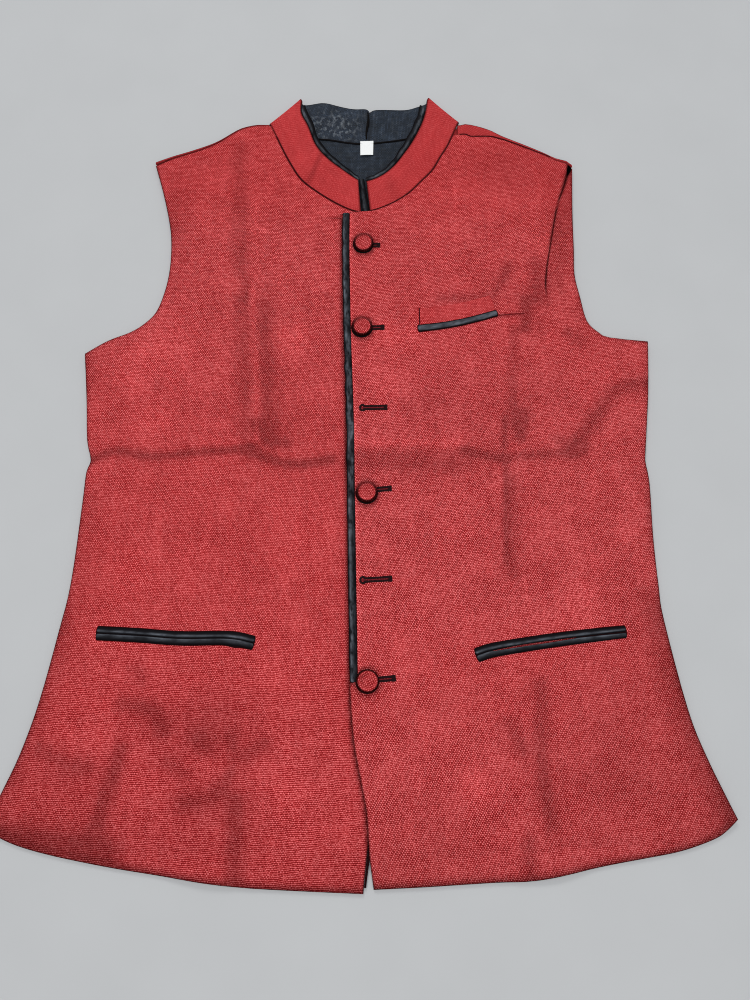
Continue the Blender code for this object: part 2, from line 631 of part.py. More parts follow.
def make_tag():
    """A bare white tag, sewn in at the back neck seam, with its free end just lifted."""
    base = BACK_WALL + 2 * SEAM_GAP + NECK_LINING_WALL + TAG_WALL
    (ax, ay), (bx, by), (cx, cy), (dx, dy) = TAG
    rows = []
    for t in np.linspace(0, 1, 4):
        left = (ax + (dx - ax) * t, ay + (dy - ay) * t)
        right = (bx + (cx - bx) * t, by + (cy - by) * t)
        z = base + TAG_LIFT * t * t
        rows.append([(left[0] + (right[0] - left[0]) * s, left[1] + (right[1] - left[1]) * s, z)
                     for s in (0, 0.5, 1)])
    outer = np.array(rows)
    wall("size_tag", outer, outer - (0, 0, TAG_WALL), WHITE)


# Collar

def upturn(t):
    """How the collar curls up, from 0 at the neck seam to 1 at the free edge."""
    return 0.35 * t + 0.65 * t * t


def collar_section(row, seam_z, steps=4):
    """Points from the neck seam to the free edge, bulging a little."""
    seam_x, seam_y, edge_x, edge_y, lift = row
    t = np.linspace(0, 1, steps)
    z = seam_z + lift * upturn(t) + COLLAR_BULGE * np.sin(np.pi * t) * (lift > 1)
    return np.column_stack([seam_x + (edge_x - seam_x) * t, seam_y + (edge_y - seam_y) * t, z])


def fold_sections(fold, lift, outward, steps=5):
    """The collar turning under at the side of the neck, from its front half to its back half."""
    (nx, ny), (px, py) = fold
    along = np.array([px - nx, py - ny]) / np.hypot(px - nx, py - ny)
    out = outward * np.array([-along[1], along[0]])
    t = np.linspace(0, 1, 4)
    top = COLLAR_FRONT_Z + lift * upturn(t)
    radius = (top - COLLAR_BACK_Z) / 2
    sections = []
    for a in np.radians(np.linspace(75, -75, steps)):
        reach = radius * (np.cos(a) - 1)
        sections.append(np.column_stack([nx + (px - nx) * t + out[0] * reach,
                                         ny + (py - ny) * t + out[1] * reach,
                                         COLLAR_BACK_Z + radius * (1 + np.sin(a))]))
    return sections


def refined(rows, steps):
    return [tuple(row) for row in smooth(rows, steps)]


def collar_grid():
    """The surface between the collar and its lining, along the band from its left end."""
    left = [collar_section(row, COLLAR_FRONT_Z) for row in refined(LEFT_COLLAR, 2)]
    left += fold_sections(LEFT_FOLD, FOLD_LIFT, 1)
    back = [collar_section(row, COLLAR_BACK_Z) for row in BACK_COLLAR]
    right = fold_sections(RIGHT_FOLD, FOLD_LIFT, -1)[::-1]
    right += [collar_section(row, COLLAR_FRONT_Z) for row in refined(RIGHT_COLLAR, 2)]
    return np.array(left + back + right)


def normals(grid):
    """Unit normals of a grid, on the side that is the collar's outer one."""
    along = np.gradient(grid, axis=0)
    across = np.gradient(grid, axis=1)
    n = np.cross(along, across)
    return n / np.linalg.norm(n, axis=2, keepdims=True)


def make_collar():
    grid = collar_grid()
    side = normals(grid)
    if side[0, 0, 2] < 0:
        side = -side
    half = SEAM_GAP / 2
    wall("collar", grid + side * (half + COLLAR_WALL), grid + side * half, RED)
    wall("collar_lining", grid - side * half, grid - side * (half + COLLAR_LINING_WALL), SLATE)
    return grid, side


def round_ring(centre, across, up, half_width, half_height):
    """A flattened round section: eight points about a centre."""
    turn = np.radians(np.arange(8) * 45 + 22.5)
    return [centre + across * half_width * np.cos(a) + up * half_height * np.sin(a) for a in turn]


def make_collar_piping(name, sections, sides):
    """A soft satin roll along the free edge of one folded half of the collar."""
    rings = []
    for points, side in zip(sections, sides):
        edge = points[-1]
        across = points[-1] - points[-2]
        across[2] *= 0.4
        across /= np.linalg.norm(across)
        up = side[-1]
        half = COLLAR_PIPING_WIDTH / 2
        centre = edge + across * (half + TRIM_GAP)
        rings.append(round_ring(centre, across, up, half, COLLAR_PIPING_HEIGHT / 2))
    loft(name, rings, SATIN)


def make_collar_end_piping():
    """The satin strip between the two ends of the collar."""
    first, last = COLLAR_END_STRIP[0][1], COLLAR_END_STRIP[-1][1]
    lift = LEFT_COLLAR[0][-1]
    across, up = np.array([1, -0.08, 0]), np.array([0, 0, 1])
    rings = []
    for x, y, width in smooth(COLLAR_END_STRIP, 2):
        t = (y - last) / (first - last)
        z = (COLLAR_FRONT_Z + COLLAR_PIPING_HEIGHT / 2 + lift * upturn(t)
             + COLLAR_BULGE * np.sin(np.pi * t))
        rings.append(round_ring(np.array([x, y, z]), across, up, width / 2 - SEAM_GAP,
                                COLLAR_PIPING_HEIGHT / 2))
    loft("collar_end_piping", rings, SATIN)


# Trim on the fronts

def strip_on(name, face, path, width_at, look, rise):
    """A thin strip on a panel: its upper edge follows the path, its lower face the panel."""
    rings = []
    length = np.hypot(*(np.array(path[-1]) - path[0]))
    path = resampled(path, int(length / STRIP_STEP))
    tangent = np.gradient(path, axis=0)
    for k, ((x, y), (tx, ty)) in enumerate(zip(path, tangent)):
        down = np.array([ty, -tx]) / np.hypot(tx, ty)
        width = width_at(k / (len(path) - 1))
        ring = []
        for across, up in STRIP_SECTION:
            px, py = x + down[0] * across * width, y + down[1] * across * width
            ring.append((px, py, face.z(px, py, 0) + TRIM_GAP + up * rise))
        rings.append(ring)
    loft(name, rings, look)


def moved_across(path, distance_down):
    path = resampled(path, 8)
    tangent = np.gradient(path, axis=0)
    down = np.column_stack([tangent[:, 1], -tangent[:, 0]])
    down /= np.linalg.norm(down, axis=1)[:, None]
    return path + down * distance_down


def make_pockets(left, right):
    for side, face, mouth, ends in (("left", left, LEFT_POCKET, JET_WIDTH),
                                    ("right", right, RIGHT_POCKET, RIGHT_JET_END_WIDTH)):
        def width(t, ends=ends):
            return JET_WIDTH + (ends - JET_WIDTH) * t * t
        lower = moved_across(mouth, JET_WIDTH + SEAM_GAP)
        strip_on(f"pocket_{side}_upper_jet", face, mouth, width, SATIN, JET_HEIGHT)
        strip_on(f"pocket_{side}_lower_jet", face, lower, width, SATIN, JET_HEIGHT)


def make_chest_pocket(right):
    welt = moved_across(CHEST_MOUTH, -CHEST_WELT_WIDTH - SEAM_GAP)
    strip_on("chest_welt", right, welt, lambda t: CHEST_WELT_WIDTH, RED, CHEST_WELT_HEIGHT)
    strip_on("chest_piping", right, CHEST_MOUTH, lambda t: CHEST_PIPING_WIDTH, SATIN,
             CHEST_PIPING_HEIGHT)


def make_front_piping(left, right):
    """The satin band that forms the top front's edge, lying on the under front."""
    rings = []
    line = smooth(PIPING_EDGE)
    for y in np.linspace(line[0, 1] + NECK_GAP, line[-1, 1] - NECK_GAP, 40):
        x = x_of(line, y)
        top = right.z(x + PIPING_WIDTH + NECK_GAP, y, 0) + SEAM_GAP
        low = max(left.z(x + s * PIPING_WIDTH, y, 0) for s in (0, 0.5, 1)) + TRIM_GAP
        low = max(low, top - PIPING_HEIGHT)
        rings.append([(x + s * PIPING_WIDTH, y, low + (top - low) * h) for s, h in PIPING_SECTION])
    loft("front_piping", rings, SATIN)


def make_front_facing(left):
    """The dark facing that peeps past the under front's edge in the hem notch."""
    rows = []
    edge = smooth(LEFT_EDGE)
    full, at_hem = FACING_WIDTHS
    for y in np.linspace(*FACING_Y, 7):
        x = x_of(edge, y) + 2 * SEAM_GAP
        z = left.z(x - 3 * SEAM_GAP, y, 0) - FACING_DROP
        width = full + (at_hem - full) * ease((FACING_Y[1] - 22 - y) / 38)
        rows.append([(x, y, z), (x + 0.5 * width, y, z - 0.3 * FACING_DROP),
                     (x + width, y, z - FACING_DROP)])
    outer = np.array(rows)
    wall("front_facing", outer, outer - (0, 0, FACING_WALL), SATIN)


def make_button(name, x, y, face):
    """A domed button covered in cloth, standing on the top front."""
    steps = BUTTON_SIDES
    reach = BUTTON_RADIUS * BUTTON_PROFILE[0][0]
    spots = [(x + reach * np.cos(a), y + reach * np.sin(a))
             for a in np.radians(np.arange(steps) * 360 / steps)]
    base = max(face.z(px, py, 0) for px, py in spots + [(x, y)]) + SEAM_GAP
    rings = []
    for radius, height in BUTTON_PROFILE:
        turn = np.radians(np.arange(steps) * 360 / steps)
        rings.append([(x + radius * BUTTON_RADIUS * np.cos(a), y + radius * BUTTON_RADIUS * np.sin(a),
                       base + height * BUTTON_HEIGHT) for a in turn])
    loft(name, rings, COVERED)


def clear_scene():
    for obj in list(bpy.data.objects):
        bpy.data.objects.remove(obj, do_unlink=True)


def main():
    clear_scene()
    make_back()
    make_back_lining()
    make_tag()
    left, right = Face(make_front_left()), Face(make_front_right())
    grid, side = make_collar()
    left_half, right_half = 2 * len(LEFT_COLLAR) - 1, 2 * len(RIGHT_COLLAR) - 1
    make_collar_piping("collar_piping_left", grid[:left_half], side[:left_half])
    make_collar_piping("collar_piping_right", grid[-right_half:], side[-right_half:])
    make_collar_end_piping()
    make_front_piping(left, right)
    make_front_facing(left)
    make_pockets(left, right)
    make_chest_pocket(right)
    for name, x, y in BUTTONS:
        make_button(name, x, y, right)


main()
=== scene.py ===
"""Looks of a nehru jacket laid flat: shells of cloth, satin trim, sewing and a plain stage.

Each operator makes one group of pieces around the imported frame. Tables are in millimetres,
with +Y towards the collar and +Z up, and meshes are made in metres.
"""

import bpy
import numpy as np
from bpy.props import FloatProperty, FloatVectorProperty, IntProperty, PointerProperty
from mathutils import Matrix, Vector


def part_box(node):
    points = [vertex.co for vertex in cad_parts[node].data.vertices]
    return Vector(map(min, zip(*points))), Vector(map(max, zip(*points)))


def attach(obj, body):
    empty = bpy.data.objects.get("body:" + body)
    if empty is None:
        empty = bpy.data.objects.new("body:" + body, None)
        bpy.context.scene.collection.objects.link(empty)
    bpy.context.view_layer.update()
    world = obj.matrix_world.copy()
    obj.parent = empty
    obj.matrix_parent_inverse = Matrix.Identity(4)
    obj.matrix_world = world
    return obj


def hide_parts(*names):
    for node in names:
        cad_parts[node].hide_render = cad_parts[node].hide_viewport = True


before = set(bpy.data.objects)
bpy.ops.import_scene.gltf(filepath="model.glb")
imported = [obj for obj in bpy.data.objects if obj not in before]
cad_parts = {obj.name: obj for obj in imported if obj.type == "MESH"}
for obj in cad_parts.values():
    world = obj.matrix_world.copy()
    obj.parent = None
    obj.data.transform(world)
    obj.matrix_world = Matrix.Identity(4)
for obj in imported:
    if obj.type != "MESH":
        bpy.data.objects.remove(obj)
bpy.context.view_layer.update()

bl_info = {
    "name": "Nehru jacket looks",
    "version": (1, 0, 0),
    "blender": (4, 5, 0),
    "location": "3D View > Sidebar > Jacket",
    "description": "Dresses a flat nehru jacket in woven cloth, satin, buttons and sewing",
    "category": "Object",
}

MM = 0.001

# Walls and gaps
BACK_WALL = 2.2
FRONT_WALL = 2.2
COLLAR_WALL = 1.3
COLLAR_LINING_WALL = 1.0
NECK_LINING_WALL = 0.8
TAG_WALL = 0.5
SEAM_GAP = 0.2
TRIM_GAP = 0.15

# Heights of a front's outer face
SIDE_HEIGHT = 4.8       # at the side seams, armholes and hem, over the back
BODY_RISE = 1.6         # gained within BODY_RISE_WIDTH of those edges
BODY_RISE_WIDTH = 26.0
CROWN_RISE = 1.2        # gained further in, across CROWN_WIDTH
CROWN_WIDTH = 95.0
HEM_DROP = 2.0          # where a front hangs past the back's hem, onto the table
HEM_DROP_WIDTH = 14.0
LAP_LIFT = 2.9          # of the top front where it lies on the under front
LAP_WIDTH = 28.0
LAP_CLEARANCE = 3.0
LAP_HEM_Y = -372.0
LAP_HEM_REACH = 26.0
SHOULDER_ROLL = 3.1     # radius of the back's roll over a shoulder
BACK_INSET = 0.4
NECK_POINTS_X = (-96.5, 95.5)
ARM_FOLD_LIFT = 4.2     # of the tuck beside the right armhole
ARM_FOLD_LIP = 3.5
ARM_FOLD_STEP = 1.3      # width of its steep outer side
ARM_FOLD_SPREAD = 55.0
ARM_FOLD_SEAM_SHARE = 0.25
ARM_FOLD_SEAM_REACH = 14.0

# Outlines as (x, y). The side lines run up from the hem, round the armhole, to the shoulder.
LEFT_SIDE = ((-313, -329.5), (-304, -306.5), (-291, -273.5), (-279, -229.5), (-268, -170),
             (-261.5, -127.5), (-258, -55.5), (-257, -26), (-254, -13.5), (-259, 6), (-263, 45),
             (-269, 93))
LEFT_ARMHOLE = ((-269, 93), (-248, 106.5), (-227, 115.5), (-214, 124.5), (-203, 137.5),
                (-196, 160.5), (-193, 182.5), (-193, 207.5), (-196, 232.5), (-205, 269.5),
                (-215, 302))
RIGHT_SIDE = ((313, -325.5), (306, -309.5), (292, -275.5), (280, -237.5), (266, -160.5),
              (264, -130.5), (263, -86.5), (264, -36.5), (262, -16), (262.5, -8), (266, 18.5),
              (271, 59.5), (274.5, 106))
RIGHT_ARMHOLE = ((274.5, 106), (238, 110), (228, 115), (217, 127.5), (212, 152.5), (208, 177.5),
                 (209, 205.5), (210, 242.5), (212, 280.5), (213, 298))
LEFT_HEM = ((-313, -329.5), (-300, -341), (-268, -351.3), (-214, -361.9), (-163, -369.6),
            (-119, -375.8), (-88, -378.8), (-46, -380.9), (1, -382.8))
RIGHT_HEM = ((313, -325.5), (303, -335), (292, -341.4), (264, -350.4), (231, -356.4),
             (200, -361.8), (145, -372.4), (107, -374.4), (53, -377.6), (9.4, -379.6))
BACK_HEM = ((-311, -327.5), (-200, -337), (-80, -343), (0, -344.5), (80, -342.5), (200, -335),
            (311, -323.5))
LEFT_SHOULDER = ((-215, 305.5), (-198, 312.5), (-178, 319.5), (-154, 329.5), (-135, 342.5),
                 (-128, 346.5), (-120, 349), (-112, 350.5), (-99.5, 350.5))
RIGHT_SHOULDER = ((213, 301.5), (209, 306.5), (196, 310.5), (186, 316), (171, 323.5), (156, 330.5),
                  (141, 337.5), (131, 343.5), (118, 348.5), (105, 351.5), (99, 350))
LEFT_ROLL_DEPTH = ((-215, 3.4), (-99.5, 3.4))
RIGHT_ROLL_DEPTH = ((99, 13), (110, 16), (119, 13.2), (134, 7.5), (143, 5), (156, 4.4), (173, 4.4),
                    (196, 3.4), (213, 3.4))
BACK_NECKLINE = ((-96, 346), (-82, 340.5), (-60, 336), (-36, 333.5), (-16, 330), (0, 329),
                 (20, 331), (42, 334.5), (72, 341.5), (95, 349))

# Front edges, from the hem up. The top front's edge steps in where the piping starts.
LEFT_EDGE = ((1, -382.8), (2, -371), (4.8, -348), (9.8, -320), (15, -280), (19, -230), (20, -190),
             (20, 0), (20, 243.6))
RIGHT_EDGE_PLAIN = ((9.4, -379.6), (6.3, -357.5), (5, -340.5), (3, -318), (-1, -297.5),
                    (-7, -268), (-10, -240), (-11.5, -215.5))
PIPING_EDGE = ((-11.5, -214), (-13, -143.5), (-15, -52.5), (-16.5, 23.5), (-20, 115.5),
               (-22, 201.5), (-22, 243.6))
PIPING_WIDTH = 7.2

# The line of the tuck beside the right armhole, and where it dies away and stands full
ARM_FOLD = ((233, -356), (222, -300), (205, -143), (200, 0), (186, 100), (178, 146.5),
            (178, 174.5), (185, 213.5), (193, 250.5), (204, 284), (208, 301.5))
ARM_FOLD_END = 146.5
ARM_FOLD_FULL = 235.0
LIP_SHARE = 0.65         # of the way to the side that columns beside the tuck may go

# Heights at which the sections of a panel meet its side line and its front line
LEFT_SECTIONS = ((-329.5, -382.8), (-229.5, -260), (-26, -26), (-13.5, -13.5), (6, 5), (93, 93),
                 (124.5, 130), (182.5, 205), (210, 243.6))
RIGHT_SECTIONS = ((-325.5, -379.6), (-237.5, -262), (-205, -215.5), (-203, -213.5), (-21, -21),
                  (-8, -8), (8, 6), (106, 106), (127.5, 135), (182.5, 205), (210, 243.6))
BACK_SECTIONS = ((-327.5, -323.5), (-229.5, -229.5), (-26, -21), (-13.5, -8), (6, 8), (93, 106),
                 (124.5, 127.5), (207.5, 205.5), (302, 298))
NECK_ROWS_SIDE_Y = 210.0
LEFT_SHOULDER_TIP_Y = 301.2
RIGHT_SHOULDER_TIP_Y = 297.2
LEFT_SEAM_X = (-215, -97)
RIGHT_SEAM_X = (213, 93.5)
UNDERARM_Y = 93.0
HEM_REACH = 90.0
SEAM_REACH = 60.0

# Columns of the back's top edge: its ends, and those about the two ends of the neckline
BACK_TOP_X = (-214.4, 212.4)
NECK_COLUMNS = ((-99.5, -93.5), (-88, 90), (92.5, 96.4, 99))

# Share of the creases and ripples that is left at the edges of a front
EDGE_SHARE = 0.25
# Small ripples of the fronts: height, cell, seed
RIPPLES = ((0.16, 9.0, 3), (0.34, 24.0, 4))

# Broad swells of the fronts: centre x, y, radii along x and y, height
SWELLS = (
    (-170, 60, 60, 90, 0.9),
    (-60, 130, 45, 80, 0.7),
    (90, 60, 55, 70, 0.8),
    (215, -60, 40, 70, 0.9),
    (-185, -250, 60, 60, 0.8),
    (75, -250, 50, 80, 0.7),
    (-130, -372, 45, 30, 2.2),
    (158, -366, 38, 28, 2.0),
    (120, 250, 45, 60, 0.8),
    (-150, 240, 35, 60, 0.8),
)

# Creases of the fronts: line as (x, y), half width, height, and how much painted light (or painted
# shade, if below zero) the cloth gets along it
CREASES = (
    # packing crease of the left front, a ridge between two troughs
    (((-91, -376), (-95, -143), (-98, -9), (-103, 44), (-109, 147), (-116, 258), (-122, 320)),
     9.0, 1.5, 0.0),
    (((-99, 5), (-101, 60), (-106, 120), (-109, 160)), 2.6, 0.5, 0.12),
    (((-110, -5), (-113, 50), (-118, 110), (-121, 150)), 8.0, -0.5, -0.12),
    (((-90, 5), (-91, 40), (-95, 90), (-99, 140)), 9.0, -0.6, -0.12),
    (((-128, 318), (-126, 262), (-124, 225), (-122, 180)), 9.0, -0.5, -0.12),
    (((-93, 160), (-90, 90), (-88, 20)), 11.0, 0.0, -0.05),
    (((-114, 300), (-112, 262), (-110, 225)), 6.0, 0.0, 0.04),
    (((-116, 170), (-116, 150)), 4.0, -0.3, -0.12),
    # packing crease of the right front
    (((130, -371), (135, -229.5), (132, -143.5), (145, -5.5), (160, 130.5), (163, 190)),
     9.0, 1.2, 0.0),
    (((158, 148), (156, 118)), 6.0, -0.7, -0.2),
    (((146, 118), (143, 80), (141, 20)), 5.5, -0.5, -0.13),
    (((150, 30), (146, 8)), 5.5, -0.7, -0.25),
    (((132, 26), (131, -2)), 3.0, -0.4, -0.16),
    (((131, -18), (128, -110)), 2.6, -0.4, -0.12),
    (((136, -30), (133, -70), (132, -120)), 7.0, -0.6, -0.14),
    (((154, -215), (152, -280), (157, -330)), 7.0, -0.6, -0.14),
    (((137, -340), (139, -372)), 6.0, 0.0, -0.12),
    (((123, -250), (136, -270)), 7.0, -0.4, -0.13),
    # waist fold, with puckers where it crosses the packing creases
    (((-257, -16), (-232, -6), (-196, -11), (-150, -7), (-104, -4)), 4.5, -1.1, -0.22),
    (((-104, -4), (-93, -12), (-62, -19), (-30, -14)), 5.0, -1.0, -0.24),
    (((-150, 1), (-104, 3)), 3.0, 0.3, 0.06),
    (((-100, 22), (-88, 6), (-72, 2)), 6.0, -0.5, -0.16),
    (((-8, -15), (40, -16), (88, -18)), 13.0, -0.8, -0.13),
    (((-6, 1), (40, 2), (88, 1)), 4.0, 0.5, 0.10),
    (((92, -5), (112, -10), (131, -14)), 4.5, -1.0, -0.22),
    (((131, -12), (160, -10), (184, -8), (202, -5)), 5.0, -1.0, -0.16),
    (((196, -6), (214, 22), (236, 52), (253, 61), (271, 63)), 8.0, -1.0, -0.17),
    (((180, 6), (205, -2)), 6.0, -0.3, -0.13),
    # soft folds beside the breast pocket and armhole
    (((75, 150), (110, 150), (130, 158), (142, 184)), 6.0, -0.5, -0.14),
    (((170, 190), (172, 150)), 8.0, -0.5, -0.13),
    (((208, 105), (196, 116)), 7.0, -0.4, -0.10),
    (((129, 131), (146, 133), (157, 133)), 2.0, -0.45, -0.25),
    # skirt of the left front
    (((-205, -232), (-180, -238), (-170, -254)), 8.0, -0.6, -0.16),
    (((-140, -262), (-132, -268)), 8.0, -0.5, -0.17),
    (((-112, -262), (-104, -276), (-84, -266)), 8.0, -0.5, -0.15),
    (((-164, -280), (-150, -290)), 8.0, -0.4, -0.12),
    (((-112, -290), (-124, -306), (-150, -312)), 8.0, -0.6, -0.15),
    (((-204, -270), (-212, -300), (-222, -335)), 8.0, -0.8, -0.2),
    (((-106, -310), (-104, -374)), 8.0, -0.6, -0.16),
    (((-272, -270), (-250, -282), (-230, -284)), 8.0, -0.5, -0.12),
    (((-196, -205), (-188, -212)), 8.0, -0.4, -0.10),
    # edges that curve away, with painted shade
    (((-309, -338), (-262, -345), (-214, -352)), 16.0, -0.3, -0.22),
    (((-270, -160), (-282, -215), (-300, -290)), 14.0, 0.0, -0.10),
    (((268, -150), (279, -215), (298, -280), (312, -322)), 18.0, 0.0, -0.14),
    (((262, -20), (262, -100)), 8.0, 0.0, -0.08),
)

# Patches of painted light and shade over the cloth's low swells: centre x, y, radii along x and y,
# tone
PATCHES = (
    (-196, 24, 26, 22, 0.07), (-70, 108, 24, 26, 0.08), (34, 108, 30, 24, 0.08),
    (-206, -120, 30, 26, 0.06), (-64, -310, 26, 34, 0.04), (95, -302, 22, 22, 0.08),
    (-215, 80, 30, 34, 0.05), (20, 60, 30, 40, 0.04), (62, 40, 30, 22, -0.07),
    (-190, 245, 22, 50, -0.06), (190, 240, 18, 50, -0.03), (-40, 270, 30, 30, 0.02),
    (-150, -250, 60, 34, -0.07), (190, -150, 40, 30, 0.04), (-60, -200, 40, 40, 0.03),
    (40, -190, 36, 50, 0.03), (235, -300, 50, 36, -0.06), (-196, 60, 10, 12, -0.08),
    (172, 60, 22, 26, -0.05), (225, 60, 26, 30, 0.02), (-262, 70, 12, 40, -0.07),
    (150, 298, 64, 36, -0.07), (70, 205, 30, 30, 0.03), (85, -60, 30, 40, 0.03),
    (-190, 95, 44, 60, 0.05), (-60, -90, 40, 60, 0.04), (-150, -30, 40, 40, 0.03),
    (-118, -240, 40, 30, -0.06), (-130, -325, 80, 36, -0.07), (215, -250, 50, 60, -0.05),
    (-250, -300, 46, 40, -0.06), (60, -330, 60, 40, -0.04), (170, -300, 60, 56, -0.05),
    (120, 30, 44, 44, -0.04), (165, 150, 34, 40, -0.04),
    (-70, 20, 34, 30, -0.04), (-185, 300, 60, 24, -0.04), (90, 255, 60, 40, 0.02),
)

# Painted shade along edges, where the cloth curves down: the edge, how far in it reaches, tone
FLANKS = (
    (LEFT_HEM, 4.6, -0.30), (RIGHT_HEM, 4.6, -0.28),
    (LEFT_SIDE, 3.0, -0.12), (RIGHT_SIDE, 3.0, -0.12),
    (LEFT_SIDE[:7], 22.0, -0.06), (RIGHT_SIDE[:5], 38.0, -0.07),
    (RIGHT_HEM, 32.0, -0.055), (LEFT_HEM, 30.0, -0.045),
    (LEFT_ARMHOLE, 2.6, -0.10), (RIGHT_ARMHOLE, 2.6, -0.12),
    (LEFT_ARMHOLE, 20.0, -0.03), (RIGHT_ARMHOLE, 20.0, -0.03),
)
# Strengths and limits of the painted light and shade of the fronts
CREASE_TONE = 0.85        # strength of the creases' tone
TONE_STRENGTH = 2.2       # of creases and patches together, kept within TONE_LIMITS
TONE_LIMITS = (-0.38, 0.4)
FLANK_STRENGTH = 1.9
DARKEST = -0.60

# Collar: each section runs from the neck seam to the free edge, lifted at that edge
LEFT_COLLAR = (
    # seam_x, seam_y, edge_x, edge_y, edge_lift
    (-3.5, 245.5, -6.5, 281.5, 2.5),
    (-13, 247.5, -11, 284, 3.0),
    (-29, 255.5, -23, 293, 4.0),
    (-48, 268.5, -37, 304, 5.5),
    (-65, 283.5, -50, 320, 6.5),
    (-78, 305.5, -58, 342, 7.0),
    (-85, 320, -65, 356, 7.0),
    (-91, 333.5, -66, 368, 6.5),
)
BACK_COLLAR = (
    (-82, 340.5, -57, 376.5, 0.0),
    (-60, 336, -43, 378.5, 0.5),
    (-36, 333.5, -28, 374, 0.8),
    (-16, 330, -12, 370.5, 0.5),
    (0, 329, 1.5, 370.5, 0.8),
    (5, 329.5, 5, 366.5, 0.0),
    (11, 330, 10, 368.5, 1.8),
    (28, 332, 26, 369.5, 0.8),
    (46, 335.2, 44, 369.5, 0.5),
    (72, 341.5, 58, 375, 0.0),
)
RIGHT_COLLAR = (
    (91, 337.5, 64, 368, 6.5),
    (85, 323.5, 61, 353, 7.0),
    (78, 311.5, 56, 339, 7.0),
    (69, 295, 48, 322.5, 6.5),
    (58, 282.5, 40, 310.5, 5.5),
    (44, 267.5, 31, 298, 4.5),
    (29, 255.5, 20, 288, 3.5),
    (16, 249, 10, 282.5, 3.0),
    (5.5, 245.5, 1.8, 280, 2.5),
)
LEFT_FOLD = ((-99, 350), (-67, 377.5))
RIGHT_FOLD = ((97.5, 352), (66.5, 379))
FOLD_LIFT = 6.0
COLLAR_BULGE = 0.8
COLLAR_BACK_Z = 1.9
COLLAR_FRONT_Z = 5.2
COLLAR_WIDTH = 40.0
COLLAR_PIPING_TOP = 362.0
COLLAR_PIPING_RISE = 1.3
COLLAR_END_STRIP = ((-3, 281.5, 5.8), (-1.4, 268, 6.4), (0.9, 250, 7.9), (1.4, 245.2, 8.0))

# Pockets: upper edge of the mouth as (x, y)
CHEST_MOUTH = ((53, 121), (73, 123.5), (93, 127), (112, 132), (127, 136.5))
CHEST_PIPING_WIDTH = 6.4
CHEST_WELT_WIDTH = 17.0
CHEST_SEAM = ((53.2, 122), (52.9, 130), (53.0, 139))
CHEST_FOLD = ((127.5, 131.5), (136, 133.0), (146, 134), (156, 134.5))
LEFT_POCKET = ((-232, -167), (-195, -169), (-160, -171.5), (-116, -171.5), (-95, -175.5))
RIGHT_POCKET = ((98, -186), (111, -182), (137, -177.5), (172, -172.5), (208, -168.5), (229, -166.5))
RIGHT_PEEK = ((113, -187.6), (137, -182.9), (160, -179.6), (186, -176.3))
JET_WIDTH = 5.4
JET_GAP = 0.25           # between the two jets
TRIM_SHADOW_WIDTH = 0.7       # width of the painted shadow showing round the satin

# Colours of the plain threads, and of the dark strips that paint the shade in seams, folds and gaps
# and the shadow round the trim
NECK_SEAM_SHADE = (0.050, 0.003, 0.005)
FOLD_SHADE = (0.13, 0.008, 0.010)
TRIM_SHADE = (0.012, 0.001, 0.0015)
GAP_SHADE = (0.004, 0.003, 0.003)
SLIT_SHADE = (0.17, 0.012, 0.018)
THREAD_SHADE = (0.016, 0.005, 0.006)
LINING_SLUB = (0.22, 0.24, 0.27)

# Buttons: node, x, y, and how each is tipped about X and Y, in degrees. One button is raised from
# its shank, a share of its radius, by steps in metres: of the side (wider by, up), then of the top
# (inwards, up). BUTTON_SHADOW is the section of the flat dark ring round it: a painted shadow
# under its edge.
BUTTON_RADIUS = 10.0
BUTTONS = (("button_1", -1, 207.5), ("button_2", -2, 117.5), ("button_4", 3, -46.5),
           ("button_6", 4, -213.5))
BUTTON_TIPS = ((1.5, -1), (-2, 1.5), (1, 2), (2, -1.5))
BUTTON_SHANK = 0.86
BUTTON_SIDE = ((1.14, 0.0013), (1.02, 0.0012), (0.965, 0.0012), (0.93, 0.0007))
BUTTON_TOP = ((0.0010, 0.00030), (0.0014, 0.00028), (0.0020, 0.00022), (0.0022, 0.00012))
BUTTON_SHADOW = ((-2.0, 0.0), (-1.2, 0.3), (0.0, 0.34), (0.6, 0.26), (1.0, 0.05), (0.0, -0.05))

# Buttonholes: name, x of the eyelet end, x of the barred end, y at each of them
BUTTONHOLES = (
    ("buttonhole_1", -4.0, 14.0, 206.5, 206.0),
    ("buttonhole_2", -6.0, 18.0, 116.5, 117.5),
    ("buttonhole_3", -3.5, 20.5, 35.5, 36.0),
    ("buttonhole_4", 0.0, 24.2, -44.5, -42.5),
    ("buttonhole_5", -2.5, 24.2, -126.5, -125.0),
    ("buttonhole_6", 1.0, 26.8, -213.0, -211.0),
)

# One stitch, in metres: its radius, its length, and how far its ends dip and bend
STITCH_RADIUS = 0.00036
STITCH_LENGTH = 0.0020
STITCH_BEND = 0.0005
STITCH_DIP = 0.00045
EYELET = (2.4, 2.5, 2.7)  # centre along the buttonhole, and its two radii
SLIT_ROW = 1.5            # from the slit to the row of stitches on each side

TAG = ((-4.8, 331), (8.9, 331.6), (8.6, 314.2), (-4.6, 313.8))
TAG_SIZE = (14.0, 17.5)
TAG_STOPS = (0, 0.08, 0.25)
NECK_LINING_X = (-84, 80)
NECK_LINING_LOW_Y = 238.0
NECK_LINING_LENGTH = 95.0
NECK_LINING_CURVE = 0.012
BACK_NECK_SEAM_X = (-62, 58)
LINING_PUCKER = ((3.6, 366), (4.6, 358), (4.0, 350), (2.6, 342), (2.2, 334))

